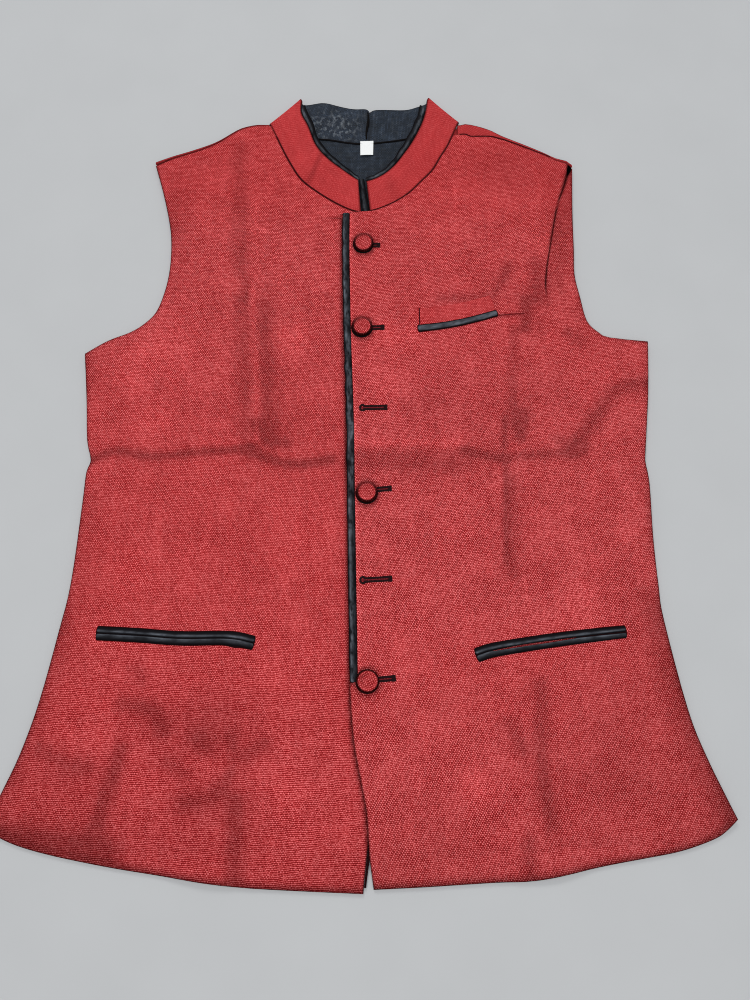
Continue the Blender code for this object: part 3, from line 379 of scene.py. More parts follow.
# Cross sections of trim: share across, share up
STRIP_SECTION = ((0, 0), (-0.01, 0.35), (0.04, 0.75), (0.16, 1), (0.35, 1.1), (0.65, 1.1),
                 (0.84, 1), (0.96, 0.75), (1.01, 0.35), (1, 0), (0.5, -0.05))
WELT_SECTION = ((0, 0), (0.0, 0.4), (0.03, 0.8), (0.08, 1), (0.3, 1), (0.6, 1), (0.92, 1),
                (0.97, 0.8), (1.0, 0.4), (1, 0), (0.5, -0.05))
PIPING_SECTION = ((0.06, 0.0), (0, 0.3), (0.02, 0.6), (0.1, 0.85), (0.25, 0.98), (0.45, 1.0),
                  (0.65, 0.97), (0.82, 0.9), (0.94, 0.72), (1, 0.45), (0.98, 0.15), (0.85, 0.0),
                  (0.5, -0.05))
FACING_SECTION = ((0, 0.5), (0.05, 0.85), (0.3, 1), (0.7, 0.9), (0.95, 0.6), (1, 0.3),
                  (0.9, 0.05), (0.5, 0), (0.1, 0.05))
BACK_NECK_SEAM_SECTION = ((-1.1, 0), (-0.7, 0.7), (0, 0.9), (0.7, 0.7), (1.1, 0), (0, -0.3))
SLIT_SECTION = ((-0.5, 0), (-0.3, 1), (0, 1.1), (0.3, 1), (0.5, 0), (0, -0.4))
# How strong the painted highlight is at each point of the strips' sections
UPPER_JET_SHINE = (0, 0, 0, 0, 0.05, 0.85, 0.1, 0, 0, 0, 0)
LOWER_JET_SHINE = (0, 0, 0, 0.85, 0.4, 0.1, 0, 0, 0, 0, 0)
CHEST_SHINE = (0, 0, 0, 0.6, 1.0, 1.0, 0.7, 0, 0, 0, 0)
PIPING_SHINE = (0, 0, 0, 0.1, 1.1, 0.6, 0.18, 0.16, 0.08, 0, 0, 0, 0)
# What a crumple adds to the piping's painted highlight: it moves over to the middle
PIPING_CRUMPLE = (0, 0, 0, 0, -0.5, 0.3, 1.1, 0.9, 0.3, 0, 0, 0, 0)
CRUMPLED_Y = (45, 85)    # middle and reach of the crumpled stretch
PIPED_Y = (-216, 244)    # where the top front's edge lies under the piping
FACING_Y = (-378, -318)
FACING_WIDTHS = (2.8, 1.8)
FACING_DROP = 0.5
# Soft creases of the collar, with painted shade (painted light, if above zero) along them: line,
# half width, tone
COLLAR_CREASES = (
    (((-60, 276), (-52, 292), (-44, 310)), 5.5, -0.30),
    (((-70, 300), (-56, 335)), 7.0, 0.06),
    (((30, 262), (24, 285)), 6.0, -0.08),
)

# Threads in metres: warp pitch, weft pitch and how far they wander
RED_DRIFT = 0.0014
LINING_THREADS = (0.0012, 0.0016, 0.0004)
TAG_THREADS = (0.0004, 0.0005, 0.0001)
# Sizes of wander: scale, share of that distance
WANDERS = ((34.0, 1.0), (170.0, 0.7))
# Levels of the red weave's five colours
THREAD_LEVELS = (0.0, 0.27, 0.5, 0.73, 1.0)
# Cloudy patches of the red weave: scale across, along and up, amount
CLOUDS = (((96.0, 40.0, 1.0), 0.05), ((150.0, 13.0, 1.0), 0.05), ((16.0, 130.0, 1.0), 0.04))
# Pale flecks of the collar's lining: everywhere, and round one spot (x, y, reach along each)
LINING_PALE = 0.12
FLECKED_PALE = 0.9
FLECKED_SPOT = (-33, 350, 24, 14)

# Stage, in metres: each light is name, place, aim, size and power
FLOOR_SIZE = 6.0
LIGHTS = (
    ("soft light above", (0.0, -0.45, 2.6), (0.0, -0.1, 0.0), (3.0, 2.6), 46.0),
    ("light from the collar side", (-0.9, 4.4, 3.2), (0.0, 0.0, 0.0), (1.6, 1.4), 88.0),
)
SKY = (0.93, 0.97, 1.0, 1)
SKY_STRENGTH = 0.44
CAMERA_PLACE = (0.0105, -0.2125, 0.6735)
CAMERA_TILT = 13.5
CAMERA_LENS = 27.0
CAMERA_SENSOR = 36.0


# Curves

def smooth(points, steps=4):
    """A Catmull-Rom curve through the points; each point may itself be a row of points."""
    knots = np.array(points, float)
    knots = np.concatenate([[2 * knots[0] - knots[1]], knots, [2 * knots[-1] - knots[-2]]])
    curve = []
    for a, b, c, d in zip(knots, knots[1:], knots[2:], knots[3:]):
        for t in np.arange(steps) / steps:
            curve.append(0.5 * (2 * b + (c - a) * t + (2 * a - 5 * b + 4 * c - d) * t ** 2
                                + (3 * b - a - 3 * c + d) * t ** 3))
    curve.append(knots[-2])
    return np.array(curve)


def joined(*runs):
    """Smooth runs that meet at corners, as one line."""
    return np.vstack([smooth(run) for run in runs])


def x_of(line, y):
    """x of a line at each height y; the line runs up."""
    return np.interp(y, line[:, 1], line[:, 0])


def y_of(line, x):
    """y of a line at each x."""
    order = np.argsort(line[:, 0])
    return np.interp(x, line[order, 0], line[order, 1])


def ease(t):
    """Smooth step from 0 to 1."""
    t = np.clip(t, 0.0, 1.0)
    return t * t * (3 - 2 * t)


def distance(x, y, line):
    """Distance in plan from each point to a line of points."""
    nearest = np.full(np.shape(x), np.inf)
    for (ax, ay), (bx, by) in zip(line, line[1:]):
        dx, dy = bx - ax, by - ay
        along = np.clip(((x - ax) * dx + (y - ay) * dy) / (dx * dx + dy * dy + 1e-9), 0, 1)
        nearest = np.minimum(nearest, np.hypot(x - ax - along * dx, y - ay - along * dy))
    return nearest


def lengths(points):
    """Distance along a line at each of its points."""
    steps = np.linalg.norm(np.diff(points, axis=0), axis=-1)
    return np.concatenate([[0], np.cumsum(steps)])


def resampled(points, step):
    """Evenly spaced points along the smooth curve through the points."""
    curve = smooth(points, 8)
    run = lengths(curve)
    stops = np.linspace(0, run[-1], max(3, int(np.ceil(run[-1] / step)) + 1))
    return np.column_stack([np.interp(stops, run, curve[:, k]) for k in range(curve.shape[1])])


def downwards(path):
    """Unit vectors across a path, downwards where it runs to the right."""
    tangent = np.gradient(path, axis=0)
    down = np.column_stack([tangent[:, 1], -tangent[:, 0]])
    return down / np.linalg.norm(down, axis=1)[:, None]


def moved_across(path, down):
    """The path shifted across itself by a distance."""
    path = resampled(path, 4.0)
    return path + downwards(path) * down


def inset_stops(length, step, insets):
    """Distances along a length: close together at both ends, then evenly spaced."""
    insets = np.array(insets)
    first, last = insets[-1], length - insets[-1]
    middle = np.linspace(first, last, max(2, int(round((last - first) / step)) + 1))
    return np.concatenate([insets[:-1], middle, length - insets[:-1][::-1]])


def soft_noise(x, y, cell, seed):
    """Smooth random heights from -1 to 1 on a lattice of cells."""
    lattice = np.random.default_rng(seed).uniform(-1, 1, (256, 256))
    u, v = x / cell + 128, y / cell + 128
    i, j = np.floor(u).astype(int), np.floor(v).astype(int)
    s, t = ease(u - i), ease(v - j)
    i, j = i % 255, j % 255
    low = lattice[i, j] * (1 - s) + lattice[i + 1, j] * s
    high = lattice[i, j + 1] * (1 - s) + lattice[i + 1, j + 1] * s
    return low * (1 - t) + high * t


LEFT_OUTLINE = joined(LEFT_SIDE, LEFT_ARMHOLE)
RIGHT_OUTLINE = joined(RIGHT_SIDE, RIGHT_ARMHOLE)
EDGES = (LEFT_OUTLINE, RIGHT_OUTLINE, smooth(LEFT_HEM), smooth(RIGHT_HEM))
RIM_STOPS = (0.0, 0.12, 0.4, 0.85, 1.4, 2.2)     # rows and columns close to a panel's border


# Heights

def body_height(x, y):
    """Outer face of the fronts, before one laps over the other."""
    inside = np.min([distance(x, y, edge) for edge in EDGES], axis=0)
    z = SIDE_HEIGHT + BODY_RISE * ease(inside / BODY_RISE_WIDTH)
    z = z + CROWN_RISE * ease((inside - BODY_RISE_WIDTH) / CROWN_WIDTH)
    past_hem = y_of(smooth(BACK_HEM), x) - 1.0 - y
    z = z - HEM_DROP * ease(past_hem / HEM_DROP_WIDTH)
    room = EDGE_SHARE + (1 - EDGE_SHARE) * ease(inside / BODY_RISE_WIDTH)
    for line, half_width, height, _ in CREASES:
        if height:
            z = z + room * height * (1 - ease(distance(x, y, smooth(line, 3)) / half_width))
    for centre_x, centre_y, radius_x, radius_y, height in SWELLS:
        out = np.hypot((x - centre_x) / radius_x, (y - centre_y) / radius_y)
        z = z + height * (1 - ease(out))
    ripple = sum(height * soft_noise(x, y, cell, seed) for height, cell, seed in RIPPLES)
    return z + room * ripple


def lap_lift(x, y):
    """How far the top front is lifted by the under front beneath it."""
    reach = (x - x_of(smooth(LEFT_EDGE), y) - LAP_CLEARANCE) / LAP_WIDTH
    return LAP_LIFT * (1 - ease(reach)) * ease((y - LAP_HEM_Y) / LAP_HEM_REACH)


def arm_fold_lift(x, y):
    """The tuck beside the right armhole, high on its inner side and dying away downwards."""
    fold_x = x_of(smooth(ARM_FOLD), y)
    tall = ease((y - ARM_FOLD_END) / (ARM_FOLD_FULL - ARM_FOLD_END))
    from_seam = (shoulder_seam(RIGHT_SHOULDER, RIGHT_ROLL_DEPTH, x) - y) / ARM_FOLD_SEAM_REACH
    held_down = ARM_FOLD_SEAM_SHARE + (1 - ARM_FOLD_SEAM_SHARE) * ease(from_seam)
    inner = 1 - ease((fold_x - x) / ARM_FOLD_SPREAD)
    outer = 1 - ease((x - fold_x) / ARM_FOLD_STEP)
    return ARM_FOLD_LIFT * tall * held_down * np.where(x <= fold_x, inner, outer)


def right_height(x, y):
    """Outer face of the top front."""
    return body_height(x, y) + lap_lift(x, y) + arm_fold_lift(x, y)


def body_tone(x, y):
    """Painted light and shade on the fronts' cloth, from creases, patches and edges, as a share."""
    tone = np.zeros(np.shape(x))
    for line, half_width, _, change in CREASES:
        if change:
            away = distance(x, y, smooth(line, 3)) / half_width
            tone = tone + CREASE_TONE * change * np.exp(-0.9 * away ** 2)
    for centre_x, centre_y, radius_x, radius_y, change in PATCHES:
        out = np.hypot((x - centre_x) / radius_x, (y - centre_y) / radius_y)
        tone = tone + change * (1 - ease(out / 1.25))
    tone = np.clip(TONE_STRENGTH * tone, *TONE_LIMITS)
    for edge, reach, change in FLANKS:
        away = distance(x, y, smooth(edge)) / reach
        tone = tone + FLANK_STRENGTH * change * np.exp(-away ** 2)
    return np.maximum(tone, DARKEST)


def arm_fold_shade(x, y):
    """Painted shade in the narrow hollow outside the armhole tuck, as a share."""
    out = x - x_of(smooth(ARM_FOLD), y)
    width = 1.0 + 1.3 * ease((y - 258) / 30)
    along = ease((y - 140) / 30) * (1 - 0.5 * ease((168 - y) / 22))
    hollow = np.exp(-((out - 0.9) / width) ** 2)
    tip = 0.75 * ease((y - 286) / 12) * ease(out / 1.5) * (1 - ease((out - 3.5) / 2.5))
    return along * (0.86 * hollow + 0.16 * ease(out / 3) * (1 - ease((out - 14) / 12))) + tip


def shoulder_seam(shoulder, roll_depth, x):
    """y of the shoulder seam on the outer face."""
    depth = np.array(roll_depth, float)
    return y_of(smooth(shoulder), x) - np.interp(x, depth[:, 0], depth[:, 1])


# Meshes

def finish_piece(obj, look, slot, *nodes):
    """Gives a piece its material and body, and hides the nodes that it stands for; its slot is not
    used.
    """
    obj.data.materials.clear()
    obj.data.materials.append(look)
    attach(obj, "root")
    if nodes:
        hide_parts(*nodes)
    return obj


def set_values(mesh, values):
    """Gives each point the named numbers that the materials read."""
    for key, value in values.items():
        mesh.attributes.new(key, "FLOAT", "POINT").data.foreach_set(
            "value", np.full(len(mesh.vertices), value, "f4"))


def mesh_object(name, points, faces, weave=None, values=None):
    """A smooth mesh from points in millimetres, with its weave map and its named values."""
    mesh = bpy.data.meshes.new(name)
    mesh.from_pydata((np.asarray(points, float) * MM).tolist(), [], faces)
    mesh.validate()
    mesh.shade_smooth()
    if weave is not None:
        corners = np.empty(len(mesh.loops), int)
        mesh.loops.foreach_get("vertex_index", corners)
        layer = mesh.uv_layers.new(name="Weave")
        layer.data.foreach_set("uv", (np.asarray(weave)[corners] * MM).astype("f4").ravel())
    set_values(mesh, values or {})
    obj = bpy.data.objects.new(name, mesh)
    bpy.context.scene.collection.objects.link(obj)
    return obj


def border_of(plan):
    """A grid's border as a closed line."""
    return np.concatenate([plan[0], plan[1:, -1], plan[-1, -2::-1], plan[-2::-1, 0]])


def shell(name, top, bottom, weave, values):
    """A closed shell of cloth between two grids that share their border."""
    rows, columns = top.shape[:2]
    index = np.arange(rows * columns).reshape(rows, columns)
    under = np.full((rows, columns), -1)
    inside = (slice(1, -1), slice(1, -1))
    under[inside] = rows * columns + np.arange((rows - 2) * (columns - 2)).reshape(
        rows - 2, columns - 2)
    under = np.where(under < 0, index, under)
    points = np.vstack([top.reshape(-1, 3), bottom[inside].reshape(-1, 3)])

    def quads(grid):
        return np.stack([grid[:-1, :-1], grid[:-1, 1:], grid[1:, 1:], grid[1:, :-1]],
                        axis=-1).reshape(-1, 4)

    across = top[1:-1, 2:] - top[1:-1, 1:-1]
    along = top[2:, 1:-1] - top[1:-1, 1:-1]
    up = top[1:-1, 1:-1] - bottom[1:-1, 1:-1]
    outward = np.sum(np.cross(across, along) * up) > 0
    upper, lower = quads(index), quads(under)
    faces = np.vstack([upper, lower[:, ::-1]] if outward else [upper[:, ::-1], lower])

    def both(value):
        value = np.asarray(value)
        flat = value.reshape(rows * columns, -1)
        inner = value[inside].reshape((rows - 2) * (columns - 2), -1)
        return np.vstack([flat, inner]).squeeze()

    return mesh_object(name, points, faces.tolist(), both(weave),
                       {key: both(value) for key, value in values.items()})


def roundness(reach, radius):
    """Share of the half thickness that is left at a distance from a rounded border."""
    return np.sqrt(np.clip(1 - (1 - np.minimum(reach / radius, 1)) ** 2, 0, 1))


def both_faces(x, y, z, inside, wall):
    """Upper and lower faces of cloth whose outer face is at z, rounded off at its border."""
    half = wall / 2
    left = roundness(inside, half) * half
    return np.dstack([x, y, z - half + left]), np.dstack([x, y, z - half - left])


def turned(x, y, degrees):
    """Weave coordinates whose lengthwise threads lean by an angle."""
    c, s = np.cos(np.radians(degrees)), np.sin(np.radians(degrees))
    return np.stack([x * c - y * s, x * s + y * c], axis=-1)


def swept(section, spots):
    """Rings along a strip: each point of its section, placed by a function of the two shares."""
    return np.stack([np.column_stack(spots(across, up)) for across, up in section], axis=1)


def tube(name, rings, weave_width, values=None):
    """A closed body through rings of points, rounded off by the caller."""
    rings = np.asarray(rings, float)
    count, sides = rings.shape[:2]
    index = np.arange(count * sides).reshape(count, sides)
    after = np.roll(index, -1, axis=1)
    faces = np.stack([index[:-1], after[:-1], after[1:], index[1:]], axis=-1)
    faces = faces.reshape(-1, 4).tolist()
    first, last = index[0].tolist(), index[-1].tolist()
    caps = [first[::-1], last]
    middle = rings[count // 2]
    spin = np.cross(middle[0] - middle.mean(0), middle[1] - middle.mean(0))
    if np.dot(spin, rings[count // 2 + 1].mean(0) - middle.mean(0)) < 0:
        faces = [face[::-1] for face in faces]
        caps = [first, last[::-1]]
    run = lengths(rings.mean(axis=1))
    around = np.linspace(0, 1, sides, endpoint=False) * weave_width
    weave = np.stack(np.meshgrid(run, around, indexing="ij"), axis=-1)
    values = {key: np.broadcast_to(value, (count, sides)).ravel()
              for key, value in (values or {}).items()}
    return mesh_object(name, rings.reshape(-1, 3), faces + caps, weave.reshape(-1, 2), values)


def shine_along(count, lit, seed):
    """Painted highlight at each ring and point of a strip: bands round it, uneven along it."""
    draw = np.random.default_rng(seed)
    knots = draw.uniform(0.4, 1.0, max(4, count // 5))
    along = np.interp(np.linspace(0, len(knots) - 1, count), np.arange(len(knots)), knots)
    return along[:, None] * np.asarray(lit, float)[None, :]


def joined_mesh(name, master, placements):
    """One mesh of many copies of a small mesh, each placed by its own 4 by 4 matrix."""
    points = np.array([vertex.co for vertex in master.vertices])
    corners = np.hstack([points, np.ones((len(points), 1))])
    faces = [list(polygon.vertices) for polygon in master.polygons]
    made, all_faces = [], []
    for number, matrix in enumerate(placements):
        made.append((corners @ np.array(matrix).T)[:, :3])
        start = number * len(points)
        all_faces += [[start + k for k in face] for face in faces]
    return mesh_object(name, np.vstack(made) / MM, all_faces)


# Plans of the panels

def bend(curve, side_x, front_x, share):
    """How far a curved edge leaves its chord, at a share of the way from side to front."""
    xs = side_x + (front_x - side_x) * share
    ends = y_of(curve, np.array([side_x, front_x]))
    return y_of(curve, xs) - (ends[0] + (ends[1] - ends[0]) * share)


def rows_through(sections, step):
    """(side y, front y) of closely spaced rows through the sections."""
    sections = np.array(sections, float)
    rows = [sections[0]]
    for low, high in zip(sections, sections[1:]):
        count = max(1, int(np.ceil(np.abs(high - low).max() / step)))
        rows += [low + (high - low) * k / count for k in range(1, count + 1)]
    rows = np.array(rows)
    run = lengths(rows)
    stops = np.unique(np.concatenate([run, RIM_STOPS, run[-1] - np.array(RIM_STOPS)]))
    keep = np.concatenate([[True], np.diff(stops) > 0.08])
    stops = stops[keep]
    stops[-1] = run[-1]
    return np.column_stack([np.interp(stops, run, rows[:, k]) for k in (0, 1)])


def columns_between(lines, counts):
    """Positions across a row, between one key line and the next, close together at its ends."""
    direction = np.sign(lines[-1] - lines[0])
    stops = np.array(RIM_STOPS[:-1]) * direction
    start, end = lines[0] + RIM_STOPS[-1] * direction, lines[-1] - RIM_STOPS[-1] * direction
    lines = [start] + list(lines[1:-1]) + [end]
    across = [np.linspace(a, b, count, endpoint=False)
              for a, b, count in zip(lines, lines[1:], counts)]
    return np.concatenate([start - RIM_STOPS[-1] * direction + stops] + across
                          + [[end], (end + RIM_STOPS[-1] * direction - stops)[::-1]])


def front_plan(rows, side, front, key_lines, counts, hem, shoulder):
    """Rows of (x, y) across a front, bent like its hem and its shoulder near them."""
    hem_y, seam_y = rows[0, 0], rows[-1, 0]
    plan = []
    for side_y, front_y in rows:
        side_x, front_x = x_of(side, side_y), x_of(front, front_y)
        middle = (side_y + front_y) / 2
        lines = [side_x] + [line(middle, side_x) for line in key_lines] + [front_x]
        xs = columns_between(lines, counts)
        share = (xs - side_x) / (front_x - side_x)
        ys = side_y + (front_y - side_y) * share
        ys = ys + bend(hem, hem[0, 0], hem[-1, 0], share) * (1 - ease((side_y - hem_y) / HEM_REACH))
        ys = ys + bend(shoulder, shoulder[0, 0], shoulder[-1, 0], share) * (
            1 - ease((seam_y - side_y) / SEAM_REACH))
        plan.append(np.column_stack([xs, ys]))
    return np.array(plan)


def neck_seam(collar, side):
    """The front's side of the neck seam, beside the collar's own sections."""
    return np.array([(row[0] + side * SEAM_GAP, row[1] - SEAM_GAP) for row in smooth(collar, 8)])


def seam_line(shoulder, roll_depth, first_x, last_x):
    """The front's side of the shoulder seam."""
    xs = np.linspace(first_x, last_x, 48)
    return np.column_stack([xs, shoulder_seam(shoulder, roll_depth, xs) - SEAM_GAP])


def neck_rows(tip_y, neck, seam):
    """Rows from the neckline's low end to the shoulder, one at each collar section."""
    front = np.append(neck[:, 1], seam[-1, 1])
    side = NECK_ROWS_SIDE_Y + (tip_y - NECK_ROWS_SIDE_Y) * (np.arange(len(front)) + 1) / len(front)
    return np.column_stack([side, front])


# Materials

class Graph:
    """Builds the nodes of one material around its Principled shader."""

    def __init__(self, name, **settings):
        self.material = bpy.data.materials.new(name)
        self.material.use_nodes = True
        self.tree = self.material.node_tree
        self.shader = self.tree.nodes["Principled BSDF"]
        for socket, value in settings.items():
            self.shader.inputs[socket.replace("_", " ")].default_value = value

    def add(self, kind, inputs, **settings):
        node = self.tree.nodes.new("ShaderNode" + kind)
        for key, value in settings.items():
            setattr(node, key, value)
        for key, value in inputs.items():
            if isinstance(value, bpy.types.NodeSocket):
                self.tree.links.new(value, node.inputs[key])
            else:
                node.inputs[key].default_value = value
        return node

    def math(self, operation, *values, clamp=False):
        inputs = dict(enumerate(values))
        return self.add("Math", inputs, operation=operation, use_clamp=clamp).outputs[0]

    def times(self, a, b, clamp=False):
        return self.math("MULTIPLY", a, b, clamp=clamp)

    def plus(self, a, b):
        return self.math("ADD", a, b)

    def minus(self, a, b, clamp=False):
        return self.math("SUBTRACT", a, b, clamp=clamp)

    def vector(self, operation, *values):
        inputs = dict(zip((0, "Scale" if operation == "SCALE" else 1), values))
        return self.add("VectorMath", inputs, operation=operation).outputs[0]

    def combine(self, x, y, z=0.0):
        return self.add("CombineXYZ", {0: x, 1: y, 2: z}).outputs[0]

    def split(self, vector):
        return self.add("SeparateXYZ", {0: vector}).outputs

    def noise(self, vector, scale, detail, roughness, output="Fac"):
        inputs = {"Vector": vector, "Scale": scale, "Detail": detail, "Roughness": roughness}
        return self.add("TexNoise", inputs).outputs[output]

    def ramp(self, factor, *stops):
        node = self.add("ValToRGB", {0: factor})
        elements = node.color_ramp.elements
        while len(elements) < len(stops):
            elements.new(0.5)
        for element, (position, colour) in zip(elements, stops):
            element.position = position
            element.color = (*colour, 1)
        return node.outputs[0]

    def mix(self, factor, a, b):
        """From one colour to another."""
        return self.add("Mix", {0: factor, 6: a, 7: b}, data_type="RGBA").outputs[2]

    def between(self, factor, a, b):
        """From one number to another."""
        return self.add("Mix", {0: factor, 2: a, 3: b}).outputs[0]

    def scaled(self, colour, amount):
        """A colour times a number."""
        return self.vector("SCALE", colour, amount)

    def remap(self, value, low, high, to_low, to_high):
        inputs = dict(enumerate((value, low, high, to_low, to_high)))
        return self.add("MapRange", inputs, clamp=True).outputs[0]

    def attribute(self, name):
        return self.add("Attribute", {}, attribute_name=name).outputs["Fac"]

    def bump(self, height, distance, strength=1.0):
        inputs = {"Height": height, "Distance": distance, "Strength": strength}
        normal = self.add("Bump", inputs).outputs[0]
        self.tree.links.new(normal, self.shader.inputs["Normal"])

    def colour(self, socket):
        self.tree.links.new(socket, self.shader.inputs["Base Color"])
        return self.material


def plain_weave(graph, warp, weft, drift):
    """Threads over and under: which is on top, height, slubs along weft and warp, cell, place."""
    place = graph.add("UVMap", {}, uv_map="Weave").outputs[0]
    laid = place
    for scale, share in WANDERS:
        wander = graph.noise(laid, scale, 2.0, 0.6, "Color")
        wander = graph.vector("SUBTRACT", wander, (0.5, 0.5, 0.5))
        place = graph.vector("ADD", place, graph.vector("SCALE", wander, 2 * (share * drift)))
    cells = graph.vector("MULTIPLY", place, (1 / warp, 1 / weft, 1.0))
    number = graph.vector("FLOOR", cells)
    part = graph.vector("FRACTION", cells)
    rounded = graph.vector("SINE", graph.vector("SCALE", part, np.pi))
    across, along, _ = graph.split(rounded)
    i, j, _ = graph.split(number)
    u, v, _ = graph.split(place)
    parity = graph.math("FRACT", graph.times(graph.plus(i, j), 0.5))
    warp_on_top = graph.math("GREATER_THAN", parity, 0.25)
    weft_height = graph.times(along, graph.math("MULTIPLY_ADD", across, 0.45, 0.55))
    warp_height = graph.times(across, graph.math("MULTIPLY_ADD", along, 0.45, 0.55))
    height = graph.between(warp_on_top, weft_height, warp_height)
    weft_slub = graph.noise(graph.combine(graph.times(u, 90.0),
                                          graph.times(j, 7.3)), 1.0, 2.0, 0.6)
    warp_slub = graph.noise(graph.combine(graph.times(i, 7.3),
                                          graph.times(v, 80.0), 5.0), 1.0, 2.0, 0.6)
    return warp_on_top, height, weft_slub, warp_slub, number, place


def red_weave(name, depth=1.0):
    """Slubby plain weave: pink-red threads on top, deep red where they dive under."""
    look = bpy.context.scene.jacket_looks
    graph = Graph(name, Roughness=0.95, Specular_IOR_Level=0.02)
    warp_on_top, height, weft_slub, warp_slub, number, place = plain_weave(
        graph, look.warp_pitch, look.weft_pitch, RED_DRIFT)
    fleck = graph.add("TexWhiteNoise", {"Vector": number}).outputs["Value"]
    slub = graph.between(warp_on_top, weft_slub, warp_slub)
    uneven = graph.noise(place, 26.0, 2.0, 0.6)
    lined = graph.attribute("lined")
    _, up_the_cloth, _ = graph.split(place)
    ridge = graph.math("SINE", graph.times(up_the_cloth, np.pi / look.weft_pitch))
    ridge = graph.minus(graph.math("ABSOLUTE", ridge), 0.10)
    height = graph.between(lined, height, ridge)
    level = graph.math("MULTIPLY_ADD", height, look.gap_depth, 0.5 - 0.53 * look.gap_depth)
    level = graph.math("MULTIPLY_ADD", fleck, 0.28, graph.minus(level, 0.14))
    level = graph.math("MULTIPLY_ADD", slub, 0.20, graph.minus(level, 0.10))
    dip = graph.times(warp_on_top, graph.remap(uneven, 0.35, 0.65, 0.28, 0.52))
    dip = graph.between(lined, dip, 0.2)
    level = graph.minus(graph.plus(level, 0.19), dip)
    lively = graph.minus(1.0, graph.attribute("calm"))
    level = graph.math("MULTIPLY_ADD", graph.minus(level, 0.5), lively, 0.5)
    colours = (look.dark_thread, look.deep_red, look.red, look.pale_red, look.bright_thread)
    thread = graph.ramp(level, *zip(THREAD_LEVELS, colours))
    # tone: mostly painted light and shade, with some random tone; rim: painted shade along borders
    # and round the buttons' sides. The clouds are random tone, and depth dims a whole copy of the
    # weave.
    tone = graph.plus(1.0, graph.attribute("tone"))
    for scale, amount in CLOUDS:
        patch = graph.noise(graph.vector("MULTIPLY", place, scale), 1.0, 3.0, 0.6)
        tone = graph.times(tone, graph.remap(patch, 0.3, 0.7, 1 - amount, 1 + amount))
    rim = graph.math("MULTIPLY_ADD", graph.attribute("rim"), -0.78, 1.0)
    tone = graph.times(tone, rim)
    graph.bump(height, 0.0003, 0.5)
    return graph.colour(graph.scaled(thread, graph.times(tone, depth)))


def satin(name, shade=1.0, shine=1.0, broken=0.12):
    """Near-black satin, with a grey painted highlight along each strip, broken where it creases."""
    look = bpy.context.scene.jacket_looks
    graph = Graph(name, Roughness=0.5, Specular_IOR_Level=0.02)
    place = graph.add("UVMap", {}, uv_map="Weave").outputs[0]
    drag = graph.noise(graph.vector("MULTIPLY", place, (60.0, 700.0, 1.0)), 1.0, 3.0, 0.6)
    crease = graph.noise(graph.vector("MULTIPLY", place, (110.0, 260.0, 1.0)), 1.0, 3.0, 0.6)
    graph.bump(graph.plus(crease, graph.times(drag, 0.3)), 0.0008, 0.5)
    amount = graph.times(graph.attribute("shine"), graph.remap(crease, 0.38, 0.60, broken, 1.3))
    amount = graph.times(amount, graph.remap(drag, 0.35, 0.65, 0.7, 1.2 * shine))
    base = np.array(look.satin) * shade
    return graph.colour(graph.mix(amount, (*base, 1), (*look.satin_shine, 1)))


def lining_weave(name):
    """Dark slate lining with fine crosswise threads and pale, cloudy slubs."""
    look = bpy.context.scene.jacket_looks
    graph = Graph(name, Roughness=0.6, Specular_IOR_Level=0.15)
    warp_on_top, height, weft_slub, warp_slub, _, place = plain_weave(graph, *LINING_THREADS)
    slate = np.array(look.lining)
    thread = graph.mix(warp_on_top, graph.ramp(weft_slub, (0.3, slate * 0.7), (0.7, slate * 2.2)),
                       graph.ramp(warp_slub, (0.3, slate * 0.4), (0.7, slate * 1.5)))
    cloud = graph.noise(place, 210.0, 3.0, 0.6)
    patch = graph.noise(place, 70.0, 2.0, 0.5)
    amount = graph.times(graph.remap(cloud, 0.50, 0.68, 0.0, 0.75), graph.attribute("tone"),
                         clamp=True)
    thread = graph.mix(amount, thread, (*LINING_SLUB, 1))
    graph.bump(height, 0.0002, 0.5)
    # rim: painted shade along the lining's edges and in its pucker
    dark = graph.minus(1.0, graph.attribute("rim"), clamp=True)
    dark = graph.times(dark, graph.remap(patch, 0.35, 0.65, 0.75, 1.25))
    dark = graph.times(dark, graph.remap(height, 0.1, 0.9, 0.6, 1.15))
    return graph.colour(graph.scaled(thread, dark))


def plain_thread(name, colour):
    """Fine twisted thread of one colour, without shine."""
    graph = Graph(name, Roughness=0.9, Specular_IOR_Level=0.04)
    place = graph.add("TexCoord", {}).outputs["Object"]
    fibre = graph.noise(place, 2600.0, 2.0, 0.6)
    graph.bump(fibre, 0.0002, 0.6)
    base = np.array(colour)
    return graph.colour(graph.ramp(fibre, (0.3, base * 0.6), (0.7, base * 1.3 + 0.004)))


def tag_weave(name):
    """Fine white ribbon, bare."""
    graph = Graph(name, Roughness=0.6)
    height = plain_weave(graph, *TAG_THREADS)[1]
    base = np.array(bpy.context.scene.jacket_looks.tag)
    graph.bump(height, 0.0001, 0.4)
    return graph.colour(graph.mix(graph.remap(height, 0.1, 0.9, 0, 1), (*(base * 0.82), 1),
                                  (*base, 1)))


def made_once(name, maker, *values):
    """The material of that name, made at its first use."""
    return bpy.data.materials.get(name) or maker(name, *values)


def red_cloth():
    return made_once("red slub weave", red_weave)


def slate_cloth():
    return made_once("slate lining", lining_weave)


def black_satin():
    return made_once("black satin", satin)


def slate_satin():
    return made_once("slate satin", satin, 1.2, 1.1, 0.65)


# Near-black thread for the painted shadow round the trim, and for the dark facing
def dark_outline():
    return made_once("trim shade", plain_thread, TRIM_SHADE)


# Near-black thread for strips that paint shade: under the buttons' edges, in the back's neck seam
# and along the lining's pucker
def painted_shade_thread():
    return made_once("slit shade", plain_thread, GAP_SHADE)


# Settings

